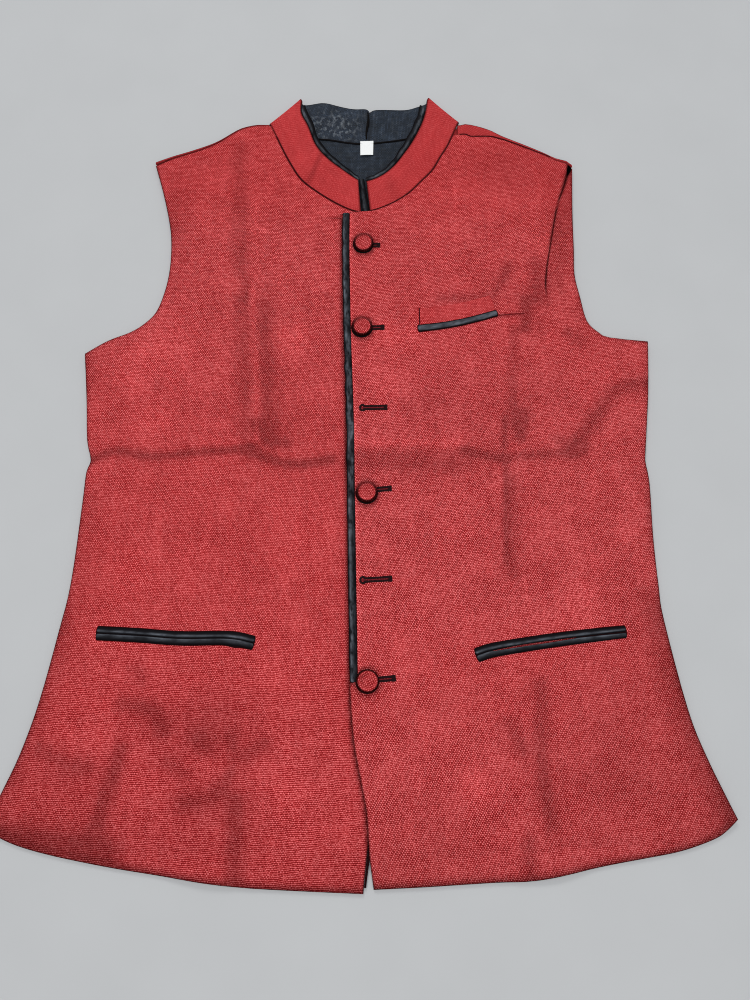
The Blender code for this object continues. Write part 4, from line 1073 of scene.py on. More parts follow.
def colour_setting(name, description, default):
    return FloatVectorProperty(name=name, description=description, subtype="COLOR",
                               default=default, min=0.0, max=1.0)


def pitch_setting(name, description, default):
    return FloatProperty(name=name, description=description, default=default, min=0.0002,
                         subtype="DISTANCE", unit="LENGTH", precision=5)


class JacketLooks(bpy.types.PropertyGroup):
    """Sizes and colours that a user would change."""

    grid_step: FloatProperty(
        name="Cloth grid", description="Spacing of the points of the cloth panels",
        default=0.0027, min=0.001, subtype="DISTANCE", unit="LENGTH")
    warp_pitch: pitch_setting("Warp pitch", "Spacing of the lengthwise threads", 0.00107)
    weft_pitch: pitch_setting("Weft pitch", "Spacing of the crosswise threads", 0.00146)
    grain_lean: FloatProperty(
        name="Grain lean", description="How far the lengthwise threads of each front lean outwards",
        default=6.0, min=-45.0, max=45.0)
    gap_depth: FloatProperty(
        name="Gap depth", description="How much deeper the red is in the gaps between threads",
        default=0.72, min=0.0, max=2.0, subtype="FACTOR")
    stitch_pitch: pitch_setting(
        "Stitch pitch", "Spacing of the stitches round a buttonhole", 0.00048)
    button_sides: IntProperty(
        name="Button sides", description="Points round a button", default=48, min=12, max=96)
    dark_thread: colour_setting("Dark gaps", "Darkest spots of the weave", (0.12, 0.0012, 0.002))
    deep_red: colour_setting("Deep red", "Threads where they dive under", (0.25, 0.006, 0.008))
    red: colour_setting("Red", "Main colour of the weave", (0.46, 0.038, 0.040))
    pale_red: colour_setting("Pale red", "Threads where they lie on top", (0.66, 0.098, 0.101))
    bright_thread: colour_setting("Bright slubs", "Palest slubs of the weave", (0.86, 0.20, 0.205))
    satin: colour_setting(
        "Satin", "Colour of the piping and pocket edges", (0.0045, 0.004, 0.005))
    # The satin's shine is a painted highlight in its colour
    satin_shine: colour_setting(
        "Satin shine", "Colour of the satin where it shines", (0.105, 0.115, 0.135))
    lining: colour_setting("Lining", "Colour of the neck lining", (0.012, 0.018, 0.029))
    tag: colour_setting("Tag", "Colour of the bare size tag", (0.93, 0.93, 0.92))
    surface: colour_setting(
        "Surface", "Colour of the pale surface under the jacket", (0.482, 0.486, 0.492))


# Pieces

class JACKET_OT_fronts(bpy.types.Operator):
    """Make the two front panels, with their creases, lap and tucked armhole"""

    bl_idname = "jacket.fronts"
    bl_label = "Fronts"

    def execute(self, context):
        step = context.scene.jacket_looks.grid_step / MM
        self.make_left(context, step)
        self.make_right(context, step)
        return {"FINISHED"}

    def panel(self, name, node, plan, height, lean):
        """One front: its shell, the painted light and shade on its weave, and how even its weave
        is.
        """
        x, y = plan[..., 0], plan[..., 1]
        right = node == "front_right"
        inside = np.full(x.shape, 9.0)
        near = np.ones(x.shape, bool)
        near[12:-12, 12:-12] = False
        inside[near] = distance(x[near], y[near], border_of(plan))
        # rim: painted shade along the border where the cloth turns down, together with the darker
        # turned cloth
        tone, rim = body_tone(x, y), 1 - ease(inside / 1.9)
        calm = (0.34 * ease((y - 205) / 80) - 0.15 * ease((-160 - y) / 120)
                + (-0.18 if right else 0.10) * ease((y + 200) / 60) * (1 - ease((y - 20) / 100)))
        if right:
            lined = np.full(x.shape, 0.1)
            # Painted shadow round each button
            for _, spot_x, spot_y in BUTTONS:
                away = np.hypot(x - spot_x, y - spot_y) - BUTTON_RADIUS
                tone = tone - 0.5 * np.exp(-((away - 0.8) / 2.0) ** 2)
            # A painted highlight on the cloth's edge beside the piping, with no painted shade of
            # the rim there
            beside = x - x_of(smooth(PIPING_EDGE), y) - PIPING_WIDTH
            piped = ease((y - PIPED_Y[0]) / 2) * ease((PIPED_Y[1] - y) / 2) * (beside < 6)
            rim = rim * (1 - piped)
            tone = (tone - arm_fold_shade(x, y)
                    + 0.3 * piped * np.exp(-((beside - 0.8) / 1.3) ** 2))
        else:
            lined = 0.2 * ease((40 - y) / 150) + 0.4 * ease((-150 - y) / 90)
            # Painted shadow of the top front's edge on the under front
            hidden = x_of(joined(RIGHT_EDGE_PLAIN, PIPING_EDGE), y) - x
            tone = tone - 0.8 * np.exp(-(np.maximum(hidden, 0) / 2.3) ** 2) * (y < 243)
        top, bottom = both_faces(x, y, height(x, y), inside, FRONT_WALL)
        obj = shell(name, top, bottom, turned(x, y, lean),
                    {"tone": tone, "rim": rim, "calm": calm, "lined": lined})
        finish_piece(obj, red_cloth(), "red_slub_weave", node)

    def make_left(self, context, step):
        neck = neck_seam(LEFT_COLLAR, -1)
        seam = seam_line(LEFT_SHOULDER, LEFT_ROLL_DEPTH, *LEFT_SEAM_X)
        front = np.vstack([smooth(LEFT_EDGE), neck, seam[-1:]])
        rows = rows_through(np.vstack([LEFT_SECTIONS, neck_rows(LEFT_SHOULDER_TIP_Y, neck, seam)]),
                            step)
        plan = front_plan(rows, LEFT_OUTLINE, front, [], (int(280 / step),), smooth(LEFT_HEM), seam)
        self.panel("cloth_front_left", "front_left", plan, body_height,
                   0.5 * context.scene.jacket_looks.grain_lean)

    def make_right(self, context, step):
        neck = neck_seam(RIGHT_COLLAR[::-1], 1)
        seam = seam_line(RIGHT_SHOULDER, RIGHT_ROLL_DEPTH, *RIGHT_SEAM_X)
        piped = [(x + PIPING_WIDTH, y) for x, y in PIPING_EDGE]
        front = np.vstack([joined(RIGHT_EDGE_PLAIN, piped), neck[:-1], seam[-1:]])
        rows = rows_through(
            np.vstack([RIGHT_SECTIONS, neck_rows(RIGHT_SHOULDER_TIP_Y, neck[:-1], seam)]), step)
        fold = smooth(ARM_FOLD)

        def beside(offset):
            share = LIP_SHARE * offset / ARM_FOLD_LIP
            return lambda y, side: min(x_of(fold, y) + offset,
                                       share * side + (1 - share) * x_of(fold, y))

        key_lines = [beside(ARM_FOLD_LIP), beside(1.3), beside(-0.6)]
        counts = (int(50 / step), 3, 5, int(200 / step))
        plan = front_plan(rows, RIGHT_OUTLINE, front, key_lines, counts, smooth(RIGHT_HEM), seam)
        self.panel("cloth_front_right", "front_right", plan, right_height,
                   -context.scene.jacket_looks.grain_lean)


class JACKET_OT_back(bpy.types.Operator):
    """Make the back, flat on the table, rolled up over both shoulders to meet the fronts"""

    bl_idname = "jacket.back"
    bl_label = "Back"

    def execute(self, context):
        step = 2 * context.scene.jacket_looks.grid_step / MM
        plan = self.plan(step)
        rows, columns = plan.shape[:2]
        xs = plan[-1, :, 0]
        flat = plan.reshape(-1, 2)
        high = rows * columns
        points = [(x, y, 0.0) for x, y in flat] + [(x, y, BACK_WALL) for x, y in flat]
        weave = [(x, y) for x, y in flat] * 2
        faces = []
        for i in range(rows - 1):
            for j in range(columns - 1):
                a, b = i * columns + j, (i + 1) * columns + j
                faces.append((a, b, b + 1, a + 1))
                faces.append((a + high, a + 1 + high, b + 1 + high, b + high))
            for j, turn in ((0, 1), (columns - 1, -1)):
                a, b = i * columns + j, (i + 1) * columns + j
                faces.append((a, a + high, b + high, b)[::turn])
        faces += [(j, j + 1, j + 1 + high, j + high) for j in range(columns - 1)]
        self.add_top(points, weave, faces, plan, xs, high)
        obj = mesh_object("cloth_back", points, faces, weave, self.shade(points))
        pick(obj)
        bpy.ops.object.mode_set(mode="EDIT")
        face_outwards()
        bpy.ops.object.shade_smooth_by_angle(angle=np.radians(40))
        finish_piece(obj, red_cloth(), "red_slub_weave", "back")
        return {"FINISHED"}

    def shade(self, points):
        """Painted light and shade of soft creases on the underside; over the shoulders, smooth
        cloth in painted shade, darkest along its top outline.
        """
        x, y, _ = np.array(points).T
        outline = np.where(x < 0, y_of(smooth(LEFT_SHOULDER), x), y_of(smooth(RIGHT_SHOULDER), x))
        inside = outline - y
        shoulder = (1 - ease((inside - 14) / 6)) * (np.abs(x) > 92)
        tone = np.where(x < 0, -0.22, -0.10) * shoulder + 0.7 * body_tone(x, y) * (1 - shoulder)
        return {"tone": tone, "rim": shoulder * (1 - ease((inside - 1.3) / 1.2)),
                "calm": 0.8 * shoulder}

    def plan(self, step):
        """Rows of (x, y) from the hem to the shoulders and the neckline."""
        left_end, right_end = BACK_TOP_X
        before, (first, last), after = NECK_COLUMNS
        xs_top = np.unique(np.concatenate([
            np.arange(left_end, NECK_POINTS_X[0] - 3, step), before, np.arange(first, last, step),
            after, np.arange(after[-1] + step, right_end, step), [right_end]]))
        share = (xs_top - xs_top[0]) / (xs_top[-1] - xs_top[0])
        top = self.top_edge(xs_top)
        top_bend = top - (top[0] * (1 - share) + top[-1] * share)
        hem = smooth(BACK_HEM)
        hem_bend = bend(hem, hem[0, 0], hem[-1, 0], share)
        rows = rows_through(BACK_SECTIONS, step)
        plan = []
        for left_y, right_y in rows:
            left_x = x_of(LEFT_OUTLINE, left_y) + BACK_INSET
            right_x = x_of(RIGHT_OUTLINE, right_y) - BACK_INSET
            at_hem = 1 - ease((left_y - rows[0, 0]) / HEM_REACH)
            at_top = max(0.0, (left_y - UNDERARM_Y) / (rows[-1, 0] - UNDERARM_Y)) ** 2
            ys = left_y + (right_y - left_y) * share + hem_bend * at_hem + top_bend * at_top
            plan.append(np.column_stack([left_x + (right_x - left_x) * share, ys]))
        plan[-1] = np.column_stack([xs_top, top])
        return np.array(plan)

    def top_edge(self, x):
        """y where the back leaves the table, or ends at the neckline."""
        neck = y_of(smooth(BACK_NECKLINE), x) - SEAM_GAP - 0.4
        left = y_of(smooth(LEFT_SHOULDER), x) - SHOULDER_ROLL
        right = y_of(smooth(RIGHT_SHOULDER), x) - SHOULDER_ROLL
        return np.where(x < NECK_POINTS_X[0], left, np.where(x > NECK_POINTS_X[1], right, neck))

    def roll(self, outline_y, seam_y):
        """(y, z) of the outer and inner faces of a roll, from the table up to the seam."""
        inner_radius = SHOULDER_ROLL - BACK_WALL
        centre_y = outline_y - SHOULDER_ROLL
        turn = np.radians(np.linspace(-90, 90, 13))[1:]
        end = min(seam_y, centre_y - 0.2)
        ends = np.linspace(centre_y, end, 5)[1:]
        runs = []
        for radius, sag in ((SHOULDER_ROLL, 1.0), (inner_radius, 0.0)):
            arc = [(centre_y + radius * np.cos(a), SHOULDER_ROLL + radius * np.sin(a))
                   for a in turn]
            runs.append(arc + [(y, SHOULDER_ROLL + radius - sag * ease((end + 1.2 - y) / 1.2))
                               for y in ends])
        return runs

    def add_top(self, points, weave, faces, plan, xs, high):
        """The rolls over both shoulders and the edge between them, added to the flat part."""
        top = (plan.shape[0] - 1) * plan.shape[1]
        rolled = [j for j in range(len(xs) - 1)
                  if xs[j + 1] < NECK_POINTS_X[0] or xs[j] > NECK_POINTS_X[1]]
        paths = {}
        for j in sorted({k for j in rolled for k in (j, j + 1)}):
            shoulder, depth = ((LEFT_SHOULDER, LEFT_ROLL_DEPTH) if xs[j] < 0
                               else (RIGHT_SHOULDER, RIGHT_ROLL_DEPTH))
            flat_y = plan[-1, j, 1]
            paths[j] = []
            runs = self.roll(flat_y + SHOULDER_ROLL, shoulder_seam(shoulder, depth, xs[j]))
            for start, run in zip((0, high), runs):
                paths[j].append([start + top + j]
                                + list(range(len(points), len(points) + len(run))))
                run_length = 0.0
                before = (flat_y, points[start + top + j][2])
                for y, z in run:
                    run_length += np.hypot(y - before[0], z - before[1])
                    before = (y, z)
                    points.append((xs[j], y, z))
                    weave.append((xs[j], flat_y + run_length))
        for j in range(len(xs) - 1):
            if j not in rolled:
                faces.append((top + j, top + j + 1, top + j + 1 + high, top + j + high))
                continue
            for here, there in zip(paths[j], paths[j + 1]):
                faces += [(here[k], there[k], there[k + 1], here[k + 1])
                          for k in range(len(here) - 1)]
            (outer, inner), (next_outer, next_inner) = paths[j], paths[j + 1]
            faces.append((outer[-1], next_outer[-1], next_inner[-1], inner[-1]))
        last_left = max(k for k in rolled if xs[k] < 0) + 1
        first_right = min(k for k in rolled if xs[k] > 0)
        for j in (0, last_left, first_right, len(xs) - 1):
            outer, inner = paths[j]
            faces += [(outer[k], outer[k + 1], inner[k + 1], inner[k])
                      for k in range(len(outer) - 1)]


# Collar

def upturn(t):
    """How the collar curls up, from 0 at the neck seam to 1 at the free edge."""
    return 0.35 * t + 0.65 * t * t


def collar_section(row, seam_z, t):
    """Points from the neck seam to the free edge, bulging a little."""
    seam_x, seam_y, edge_x, edge_y, lift = row
    z = seam_z + lift * upturn(t) + COLLAR_BULGE * np.sin(np.pi * t) * ease(lift - 1)
    return np.column_stack([seam_x + (edge_x - seam_x) * t, seam_y + (edge_y - seam_y) * t, z])


def fold_sections(fold, outward, t):
    """The collar turning under at the side of the neck, from its front half to its back half."""
    (nx, ny), (px, py) = fold
    along = np.array([px - nx, py - ny]) / np.hypot(px - nx, py - ny)
    out = outward * np.array([-along[1], along[0]])
    radius = (COLLAR_FRONT_Z + FOLD_LIFT * upturn(t) - COLLAR_BACK_Z) / 2
    sections = []
    for a in np.radians(np.linspace(80, -80, 13)):
        reach = radius * (np.cos(a) - 1)
        sections.append(np.column_stack([nx + (px - nx) * t + out[0] * reach,
                                         ny + (py - ny) * t + out[1] * reach,
                                         COLLAR_BACK_Z + radius * (1 + np.sin(a))]))
    return sections


def collar_surface():
    """The surface between the collar and its lining, from its left end, and its outer normals."""
    t = inset_stops(COLLAR_WIDTH, 2.4, RIM_STOPS) / COLLAR_WIDTH
    left = [collar_section(row, COLLAR_FRONT_Z, t) for row in smooth(LEFT_COLLAR, 8)]
    back = [collar_section(row, COLLAR_BACK_Z, t) for row in smooth(BACK_COLLAR, 6)]
    right = [collar_section(row, COLLAR_FRONT_Z, t) for row in smooth(RIGHT_COLLAR, 8)]
    grid = np.array(left + fold_sections(LEFT_FOLD, 1, t) + back
                    + fold_sections(RIGHT_FOLD, -1, t)[::-1] + right)
    for _ in range(4):
        grid[1:-1] = 0.5 * grid[1:-1] + 0.25 * (grid[:-2] + grid[2:])
    for end, inner in ((0, 1), (-1, -2)):
        rim = [grid[end] + (grid[inner] - grid[end]) * share for share in (0.08, 0.3, 0.6)]
        grid = (np.concatenate([grid[:1], rim, grid[1:]]) if end == 0
                else np.concatenate([grid[:-1], rim[::-1], grid[-1:]]))
    side = np.cross(np.gradient(grid, axis=0), np.gradient(grid, axis=1))
    side /= np.linalg.norm(side, axis=2, keepdims=True)
    if side[0, 0, 2] < 0:
        side = -side
    return grid, side, len(left) + 3, len(right) + 3


def collar_tone(grid):
    """Random tone of the collar's outer face, with painted shade and light along its soft creases,
    most on its left half.
    """
    x, y, z = (grid[..., k] for k in range(3))
    tone = 0.05 * soft_noise(x, y, 16.0, 21)
    for line, half_width, change in COLLAR_CREASES:
        tone = tone + change * (1 - ease(distance(x, y, smooth(line)) / half_width))
    return tone * (z > COLLAR_BACK_Z + 3)


def collar_layer(name, grid, side, near, wall, values, shade=0.0):
    """One cloth layer of the collar, from a distance off its middle surface."""
    steps = [np.linalg.norm(np.diff(grid, axis=k), axis=2).mean(axis=1 - k) for k in (0, 1)]
    run, across = np.meshgrid(*(np.concatenate([[0], np.cumsum(step)]) for step in steps),
                              indexing="ij")
    inside = np.minimum(np.minimum(run, run.max() - run),
                        np.minimum(across, across.max() - across))
    middle = grid + side * (near + wall / 2)
    half = (np.sign(wall) * roundness(inside, abs(wall) / 2) * abs(wall) / 2)[..., None]
    # rim: painted shade along the layer's edges
    rim = 1 - ease(inside / 2.4) if wall > 0 else 0.5 * (1 - ease(inside / 1.5))
    values = dict(values, rim=rim + shade)
    return shell(name, middle + side * half, middle - side * half,
                 np.stack([across, run], axis=-1), values)


class JACKET_OT_collar(bpy.types.Operator):
    """Make the standing collar, folded at the sides of the neck, and its lining"""

    bl_idname = "jacket.collar"
    bl_label = "Collar"

    def execute(self, context):
        grid, side, _, _ = collar_surface()
        tone = collar_tone(grid)
        outer = collar_layer("cloth_collar", grid, side, 0.1, COLLAR_WALL,
                             {"tone": tone + 0.02, "calm": np.full(tone.shape, 0.74)})
        finish_piece(outer, red_cloth(), "red_slub_weave", "collar")
        x, y, z = (grid[..., k] for k in range(3))
        spot_x, spot_y, reach_x, reach_y = FLECKED_SPOT
        flecks = LINING_PALE + FLECKED_PALE * np.exp(
            -((x - spot_x) / reach_x) ** 2 - ((y - spot_y) / reach_y) ** 2)
        # Painted shade along the lining's pucker at the centre back
        pucker = 0.9 * np.exp(-((x - 4.6 - 0.04 * (y - 340)) / 1.7) ** 2) * (z < 6)
        inner = collar_layer("cloth_collar_lining", grid, side, -0.1, -COLLAR_LINING_WALL,
                             {"tone": flecks - pucker}, 0.5 * pucker)
        finish_piece(inner, slate_cloth(), "slate_lining", "collar_lining")
        return {"FINISHED"}


class JACKET_OT_neck_lining(bpy.types.Operator):
    """Make the lining of the back, where the neck shows it, and the bare size tag"""

    bl_idname = "jacket.neck_lining"
    bl_label = "Neck lining and tag"

    def execute(self, context):
        top_z = BACK_WALL + SEAM_GAP + NECK_LINING_WALL
        width = NECK_LINING_X[1] - NECK_LINING_X[0]
        columns = NECK_LINING_X[0] + inset_stops(width, 3.0, RIM_STOPS)
        neckline = smooth(BACK_NECKLINE)
        rows = []
        for share in inset_stops(NECK_LINING_LENGTH, 3.0, RIM_STOPS) / NECK_LINING_LENGTH:
            low = NECK_LINING_LOW_Y + NECK_LINING_CURVE * columns ** 2
            high = y_of(neckline, columns) - SEAM_GAP - 0.8
            rows.append(np.column_stack([columns, low + (high - low) * share]))
        plan = np.array(rows)
        x, y = plan[..., 0], plan[..., 1]
        top = top_z + 0.18 * soft_noise(x, y, 14.0, 8) * ease((329 - y) / 12)
        inside = distance(x, y, border_of(plan))
        # The lining is darker all over by a quarter, with painted shade along its edges
        obj = shell("cloth_back_lining", *both_faces(x, y, top, inside, NECK_LINING_WALL),
                    turned(x, y, 0),
                    {"tone": np.full(x.shape, 0.1), "rim": 0.25 + 0.5 * (1 - ease(inside / 2))})
        finish_piece(obj, slate_cloth(), "slate_lining", "back_lining")
        self.make_tag(top_z)
        # A dark strip along the back's neckline: painted shade in the seam
        xs = np.linspace(*BACK_NECK_SEAM_X, 60)
        ys = y_of(neckline, xs) - 0.9
        z = np.full(len(xs), top_z - 0.1)
        rings = swept(BACK_NECK_SEAM_SECTION, lambda across, up: (xs, ys + across, z + up))
        seam = tube("back_neck_seam", rounded_ends(rings, 0.4), 6.0)
        finish_piece(seam, painted_shade_thread(), "slate_lining")
        # A dark strip: painted shade along the lining's pucker
        pucker = strip_on("lining_pucker", lambda x, y: 2.5 + 0.9 * ease((y - 330) / 36),
                          LINING_PUCKER, lambda t: 1.2 + 1.2 * np.sin(np.pi * t), 1.5)
        finish_piece(pucker, painted_shade_thread(), "slate_lining")
        return {"FINISHED"}

    def make_tag(self, lining_z):
        """The bare size tag, standing off a little at its lower end."""
        (ax, ay), (bx, by), (cx, cy), (dx, dy) = TAG
        width, length = TAG_SIZE
        s, t = np.meshgrid(inset_stops(width, 1.0, TAG_STOPS) / width,
                           inset_stops(length, 1.0, TAG_STOPS) / length)
        x = (ax + (bx - ax) * s) * (1 - t) + (dx + (cx - dx) * s) * t
        y = (ay + (by - ay) * s) * (1 - t) + (dy + (cy - dy) * s) * t
        lift = 0.7 * t * t + 0.25 * np.sin(np.pi * s) * t
        inside = np.minimum(np.minimum(s, 1 - s) * width, np.minimum(t, 1 - t) * length)
        top, bottom = both_faces(x, y, lining_z + 0.25 + TAG_WALL + lift, inside, TAG_WALL)
        obj = shell("woven_tag", top, bottom, turned(x, y, 0), {"tone": np.zeros(x.shape)})
        finish_piece(obj, made_once("white tag", tag_weave), "white_tag", "size_tag")


# Trim

def rounded_ends(rings, reach):
    """Rings added at both ends, so that a body closes in a soft dome."""
    rings = np.asarray(rings, float)
    caps = []
    for end, inner in ((rings[0], rings[1]), (rings[-1], rings[-2])):
        centre = end.mean(0)
        out = centre - inner.mean(0)
        out /= np.linalg.norm(out)
        caps.append([centre + (end - centre) * np.cos(a) + out * reach * np.sin(a)
                     for a in np.radians((30, 55, 75, 86))])
    return np.concatenate([caps[0][::-1], rings, caps[1]])


def strip_on(name, height, path, width_at, rise, lit=0.0, section=STRIP_SECTION):
    """A thin domed strip on a panel: its upper edge follows the path."""
    path = resampled(path, 1.6)
    down = downwards(path)
    width = width_at(np.linspace(0, 1, len(path)))

    def spots(across, up):
        x, y = (path + down * (width * across)[:, None]).T
        return x, y, height(x, y) + TRIM_GAP + up * rise

    rings = rounded_ends(swept(section, spots), min(1.4, 0.25 * float(np.min(width))))
    # Painted highlight of the strip, read by the satin
    shine = shine_along(len(rings), np.broadcast_to(lit, len(section)), len(name))
    return tube(name, rings, 2.2 * float(np.max(width)), {"shine": shine})


def outline_path(mouth):
    """The upper edge of the painted shadow round a trim, reaching past both its ends."""
    edge = moved_across(mouth, -TRIM_SHADOW_WIDTH)
    edge = np.vstack([2 * edge[0] - edge[1], edge, 2 * edge[-1] - edge[-2]])
    edge[[0, -1]] += 0.86 * (edge[[1, -2]] - edge[[0, -1]])
    return edge


class JACKET_OT_collar_piping(bpy.types.Operator):
    """Make the satin rolls along the collar's free edge and between its two ends"""

    bl_idname = "jacket.collar_piping"
    bl_label = "Collar piping"

    def execute(self, context):
        grid, side, left_rows, right_rows = collar_surface()
        turn = np.linspace(0, 2 * np.pi, 14, endpoint=False)
        for name, rows, first, last, lit_at in (
                ("left", slice(3, left_rows), 5.2, 8.0, 4.4),
                ("right", slice(-right_rows, -3), 8.6, 4.8, 4.0)):
            below = grid[rows][:, -1, 1] < COLLAR_PIPING_TOP
            sections, sides = grid[rows][below], side[rows][below]
            rings = []
            for number, (points, up) in enumerate(zip(sections, sides)):
                across = points[-1] - points[-4]
                across[2] *= 0.4
                across /= np.linalg.norm(across)
                share = number / (len(sections) - 1)
                half = 0.5 * (first + (last - first) * ease(share))
                half *= 1 + 0.05 * np.sin(number * 0.7)
                centre = points[-1] + across * (half + TRIM_GAP)
                rings.append([centre + across * half * np.cos(a)
                              + up[-1] * COLLAR_PIPING_RISE * np.sin(a) for a in turn])
            rings = rounded_ends(rings, 1.5)
            # A painted highlight along the neck side of the roll
            lit = np.exp(-((np.arange(len(turn)) - lit_at) / 0.9) ** 2)
            obj = tube(f"satin_collar_{name}", rings, 14.0,
                       {"shine": shine_along(len(rings), lit, 5)})
            finish_piece(obj, black_satin(), "black_satin", f"collar_piping_{name}")
        self.make_end_roll()
        return {"FINISHED"}

    def make_end_roll(self):
        """The roll between the collar's two ends."""
        first, last = COLLAR_END_STRIP[0][1], COLLAR_END_STRIP[-1][1]
        lift = LEFT_COLLAR[0][-1]
        turn = np.linspace(0, 2 * np.pi, 16, endpoint=False)
        rings = []
        for x, y, width in smooth(COLLAR_END_STRIP, 8):
            t = (y - last) / (first - last)
            z = (COLLAR_FRONT_Z + COLLAR_PIPING_RISE + lift * upturn(t)
                 + COLLAR_BULGE * np.sin(np.pi * t))
            half = width / 2 - 0.2
            rings.append([(x + half * np.cos(a), y - 0.08 * half * np.cos(a),
                           z + COLLAR_PIPING_RISE * np.sin(a)) for a in turn])
        rings = rounded_ends(rings, 0.8)
        # A painted highlight along the roll
        lit = 0.5 * np.exp(-((np.arange(len(turn)) - 4.6) / 1.2) ** 2)
        obj = tube("satin_collar_end", rings, 14.0, {"shine": shine_along(len(rings), lit, 6)})
        finish_piece(obj, black_satin(), "black_satin", "collar_end_piping")


class JACKET_OT_front_piping(bpy.types.Operator):
    """Make the satin band down the top front and the dark facing in the hem notch"""

    bl_idname = "jacket.front_piping"
    bl_label = "Front piping and facing"

    def execute(self, context):
        line = smooth(PIPING_EDGE, 8)
        ys = np.arange(line[0, 1] + 0.4, line[-1, 1] - 0.4, 1.7)
        xs = x_of(line, ys)
        top = right_height(xs + PIPING_WIDTH + 0.3, ys) - 0.25
        under = np.max([body_height(xs + s * PIPING_WIDTH, ys) for s in (0, 0.5, 1)], axis=0) + 0.3
        low = np.maximum(under, top - 3.2)
        middle, reach = CRUMPLED_Y
        waist = np.exp(-((ys - middle) / reach) ** 2)
        sway = (0.25 + 0.5 * waist) * soft_noise(xs, ys, 11.0, 31)
        rings = rounded_ends(swept(PIPING_SECTION, lambda across, up: (
            xs + across * PIPING_WIDTH + sway * (across < 0.5), ys,
            low + (top + 0.35 - low) * up)), 0.9)
        # Painted highlight, moving over to the middle where the piping crumples
        pull = np.interp(rings[:, 0, 1], ys,
                         waist * np.clip(0.3 + soft_noise(xs, ys, 9.0, 32), 0, 1))
        shine = shine_along(len(rings), PIPING_SHINE, 7) + pull[:, None] * PIPING_CRUMPLE
        obj = tube("satin_front", rings, 18.0, {"shine": np.clip(shine, 0, None)})
        finish_piece(obj, black_satin(), "black_satin", "front_piping")
        self.make_facing()
        return {"FINISHED"}

    def make_facing(self):
        """The dark edge of the under front in the hem notch."""
        edge = smooth(LEFT_EDGE)
        ys = np.arange(FACING_Y[0], FACING_Y[1], 2.5)
        full, at_hem = FACING_WIDTHS
        width = full + (at_hem - full) * ease((FACING_Y[1] - 22 - ys) / 38)
        x0 = x_of(edge, ys) + 0.2
        z = body_height(x0 - 0.9, ys) - FACING_DROP
        rings = swept(FACING_SECTION, lambda across, up: (
            x0 + across * width, ys, z - 0.8 + 0.8 * up))
        obj = tube("satin_facing", rounded_ends(rings, 0.3), 14.0, {"shine": 0.15})
        finish_piece(obj, dark_outline(), "black_satin", "front_facing")


class JACKET_OT_seams(bpy.types.Operator):
    """Lay a dark strip along each seam and fold that shows, as painted shade: neck, shoulders,
    breast pocket
    """

    bl_idname = "jacket.seams"
    bl_label = "Seams"

    def execute(self, context):
        left = neck_seam(LEFT_COLLAR, -1)
        right = neck_seam(RIGHT_COLLAR[::-1], 1)
        shoulder = seam_line(RIGHT_SHOULDER, RIGHT_ROLL_DEPTH, 98, 190)
        fall = seam_line(LEFT_SHOULDER, LEFT_ROLL_DEPTH, -205, -101)
        for name, path, width, rise, height, colour in (
                ("neck_seam_left", left, 0.9, 0.5, body_height, NECK_SEAM_SHADE),
                ("neck_seam_right", right, 0.9, 0.5, right_height, NECK_SEAM_SHADE),
                ("shoulder_seam_right", shoulder, 1.0, 0.4, right_height, NECK_SEAM_SHADE),
                ("shoulder_seam_left", fall, 0.5, 0.2, body_height, FOLD_SHADE),
                ("chest_seam", CHEST_SEAM, 1.3, 1.0, right_height, NECK_SEAM_SHADE),
                ("chest_fold", CHEST_FOLD, 0.7, 0.12, right_height, FOLD_SHADE)):
            def taper(t, width=width):
                return width * np.sin(np.pi * (0.1 + 0.8 * t)) ** 0.3
            obj = strip_on(name, height, path, taper, rise)
            finish_piece(obj, made_once(f"seam shade {colour[0]:.2f}", plain_thread, colour),
                         "red_slub_weave")
        return {"FINISHED"}


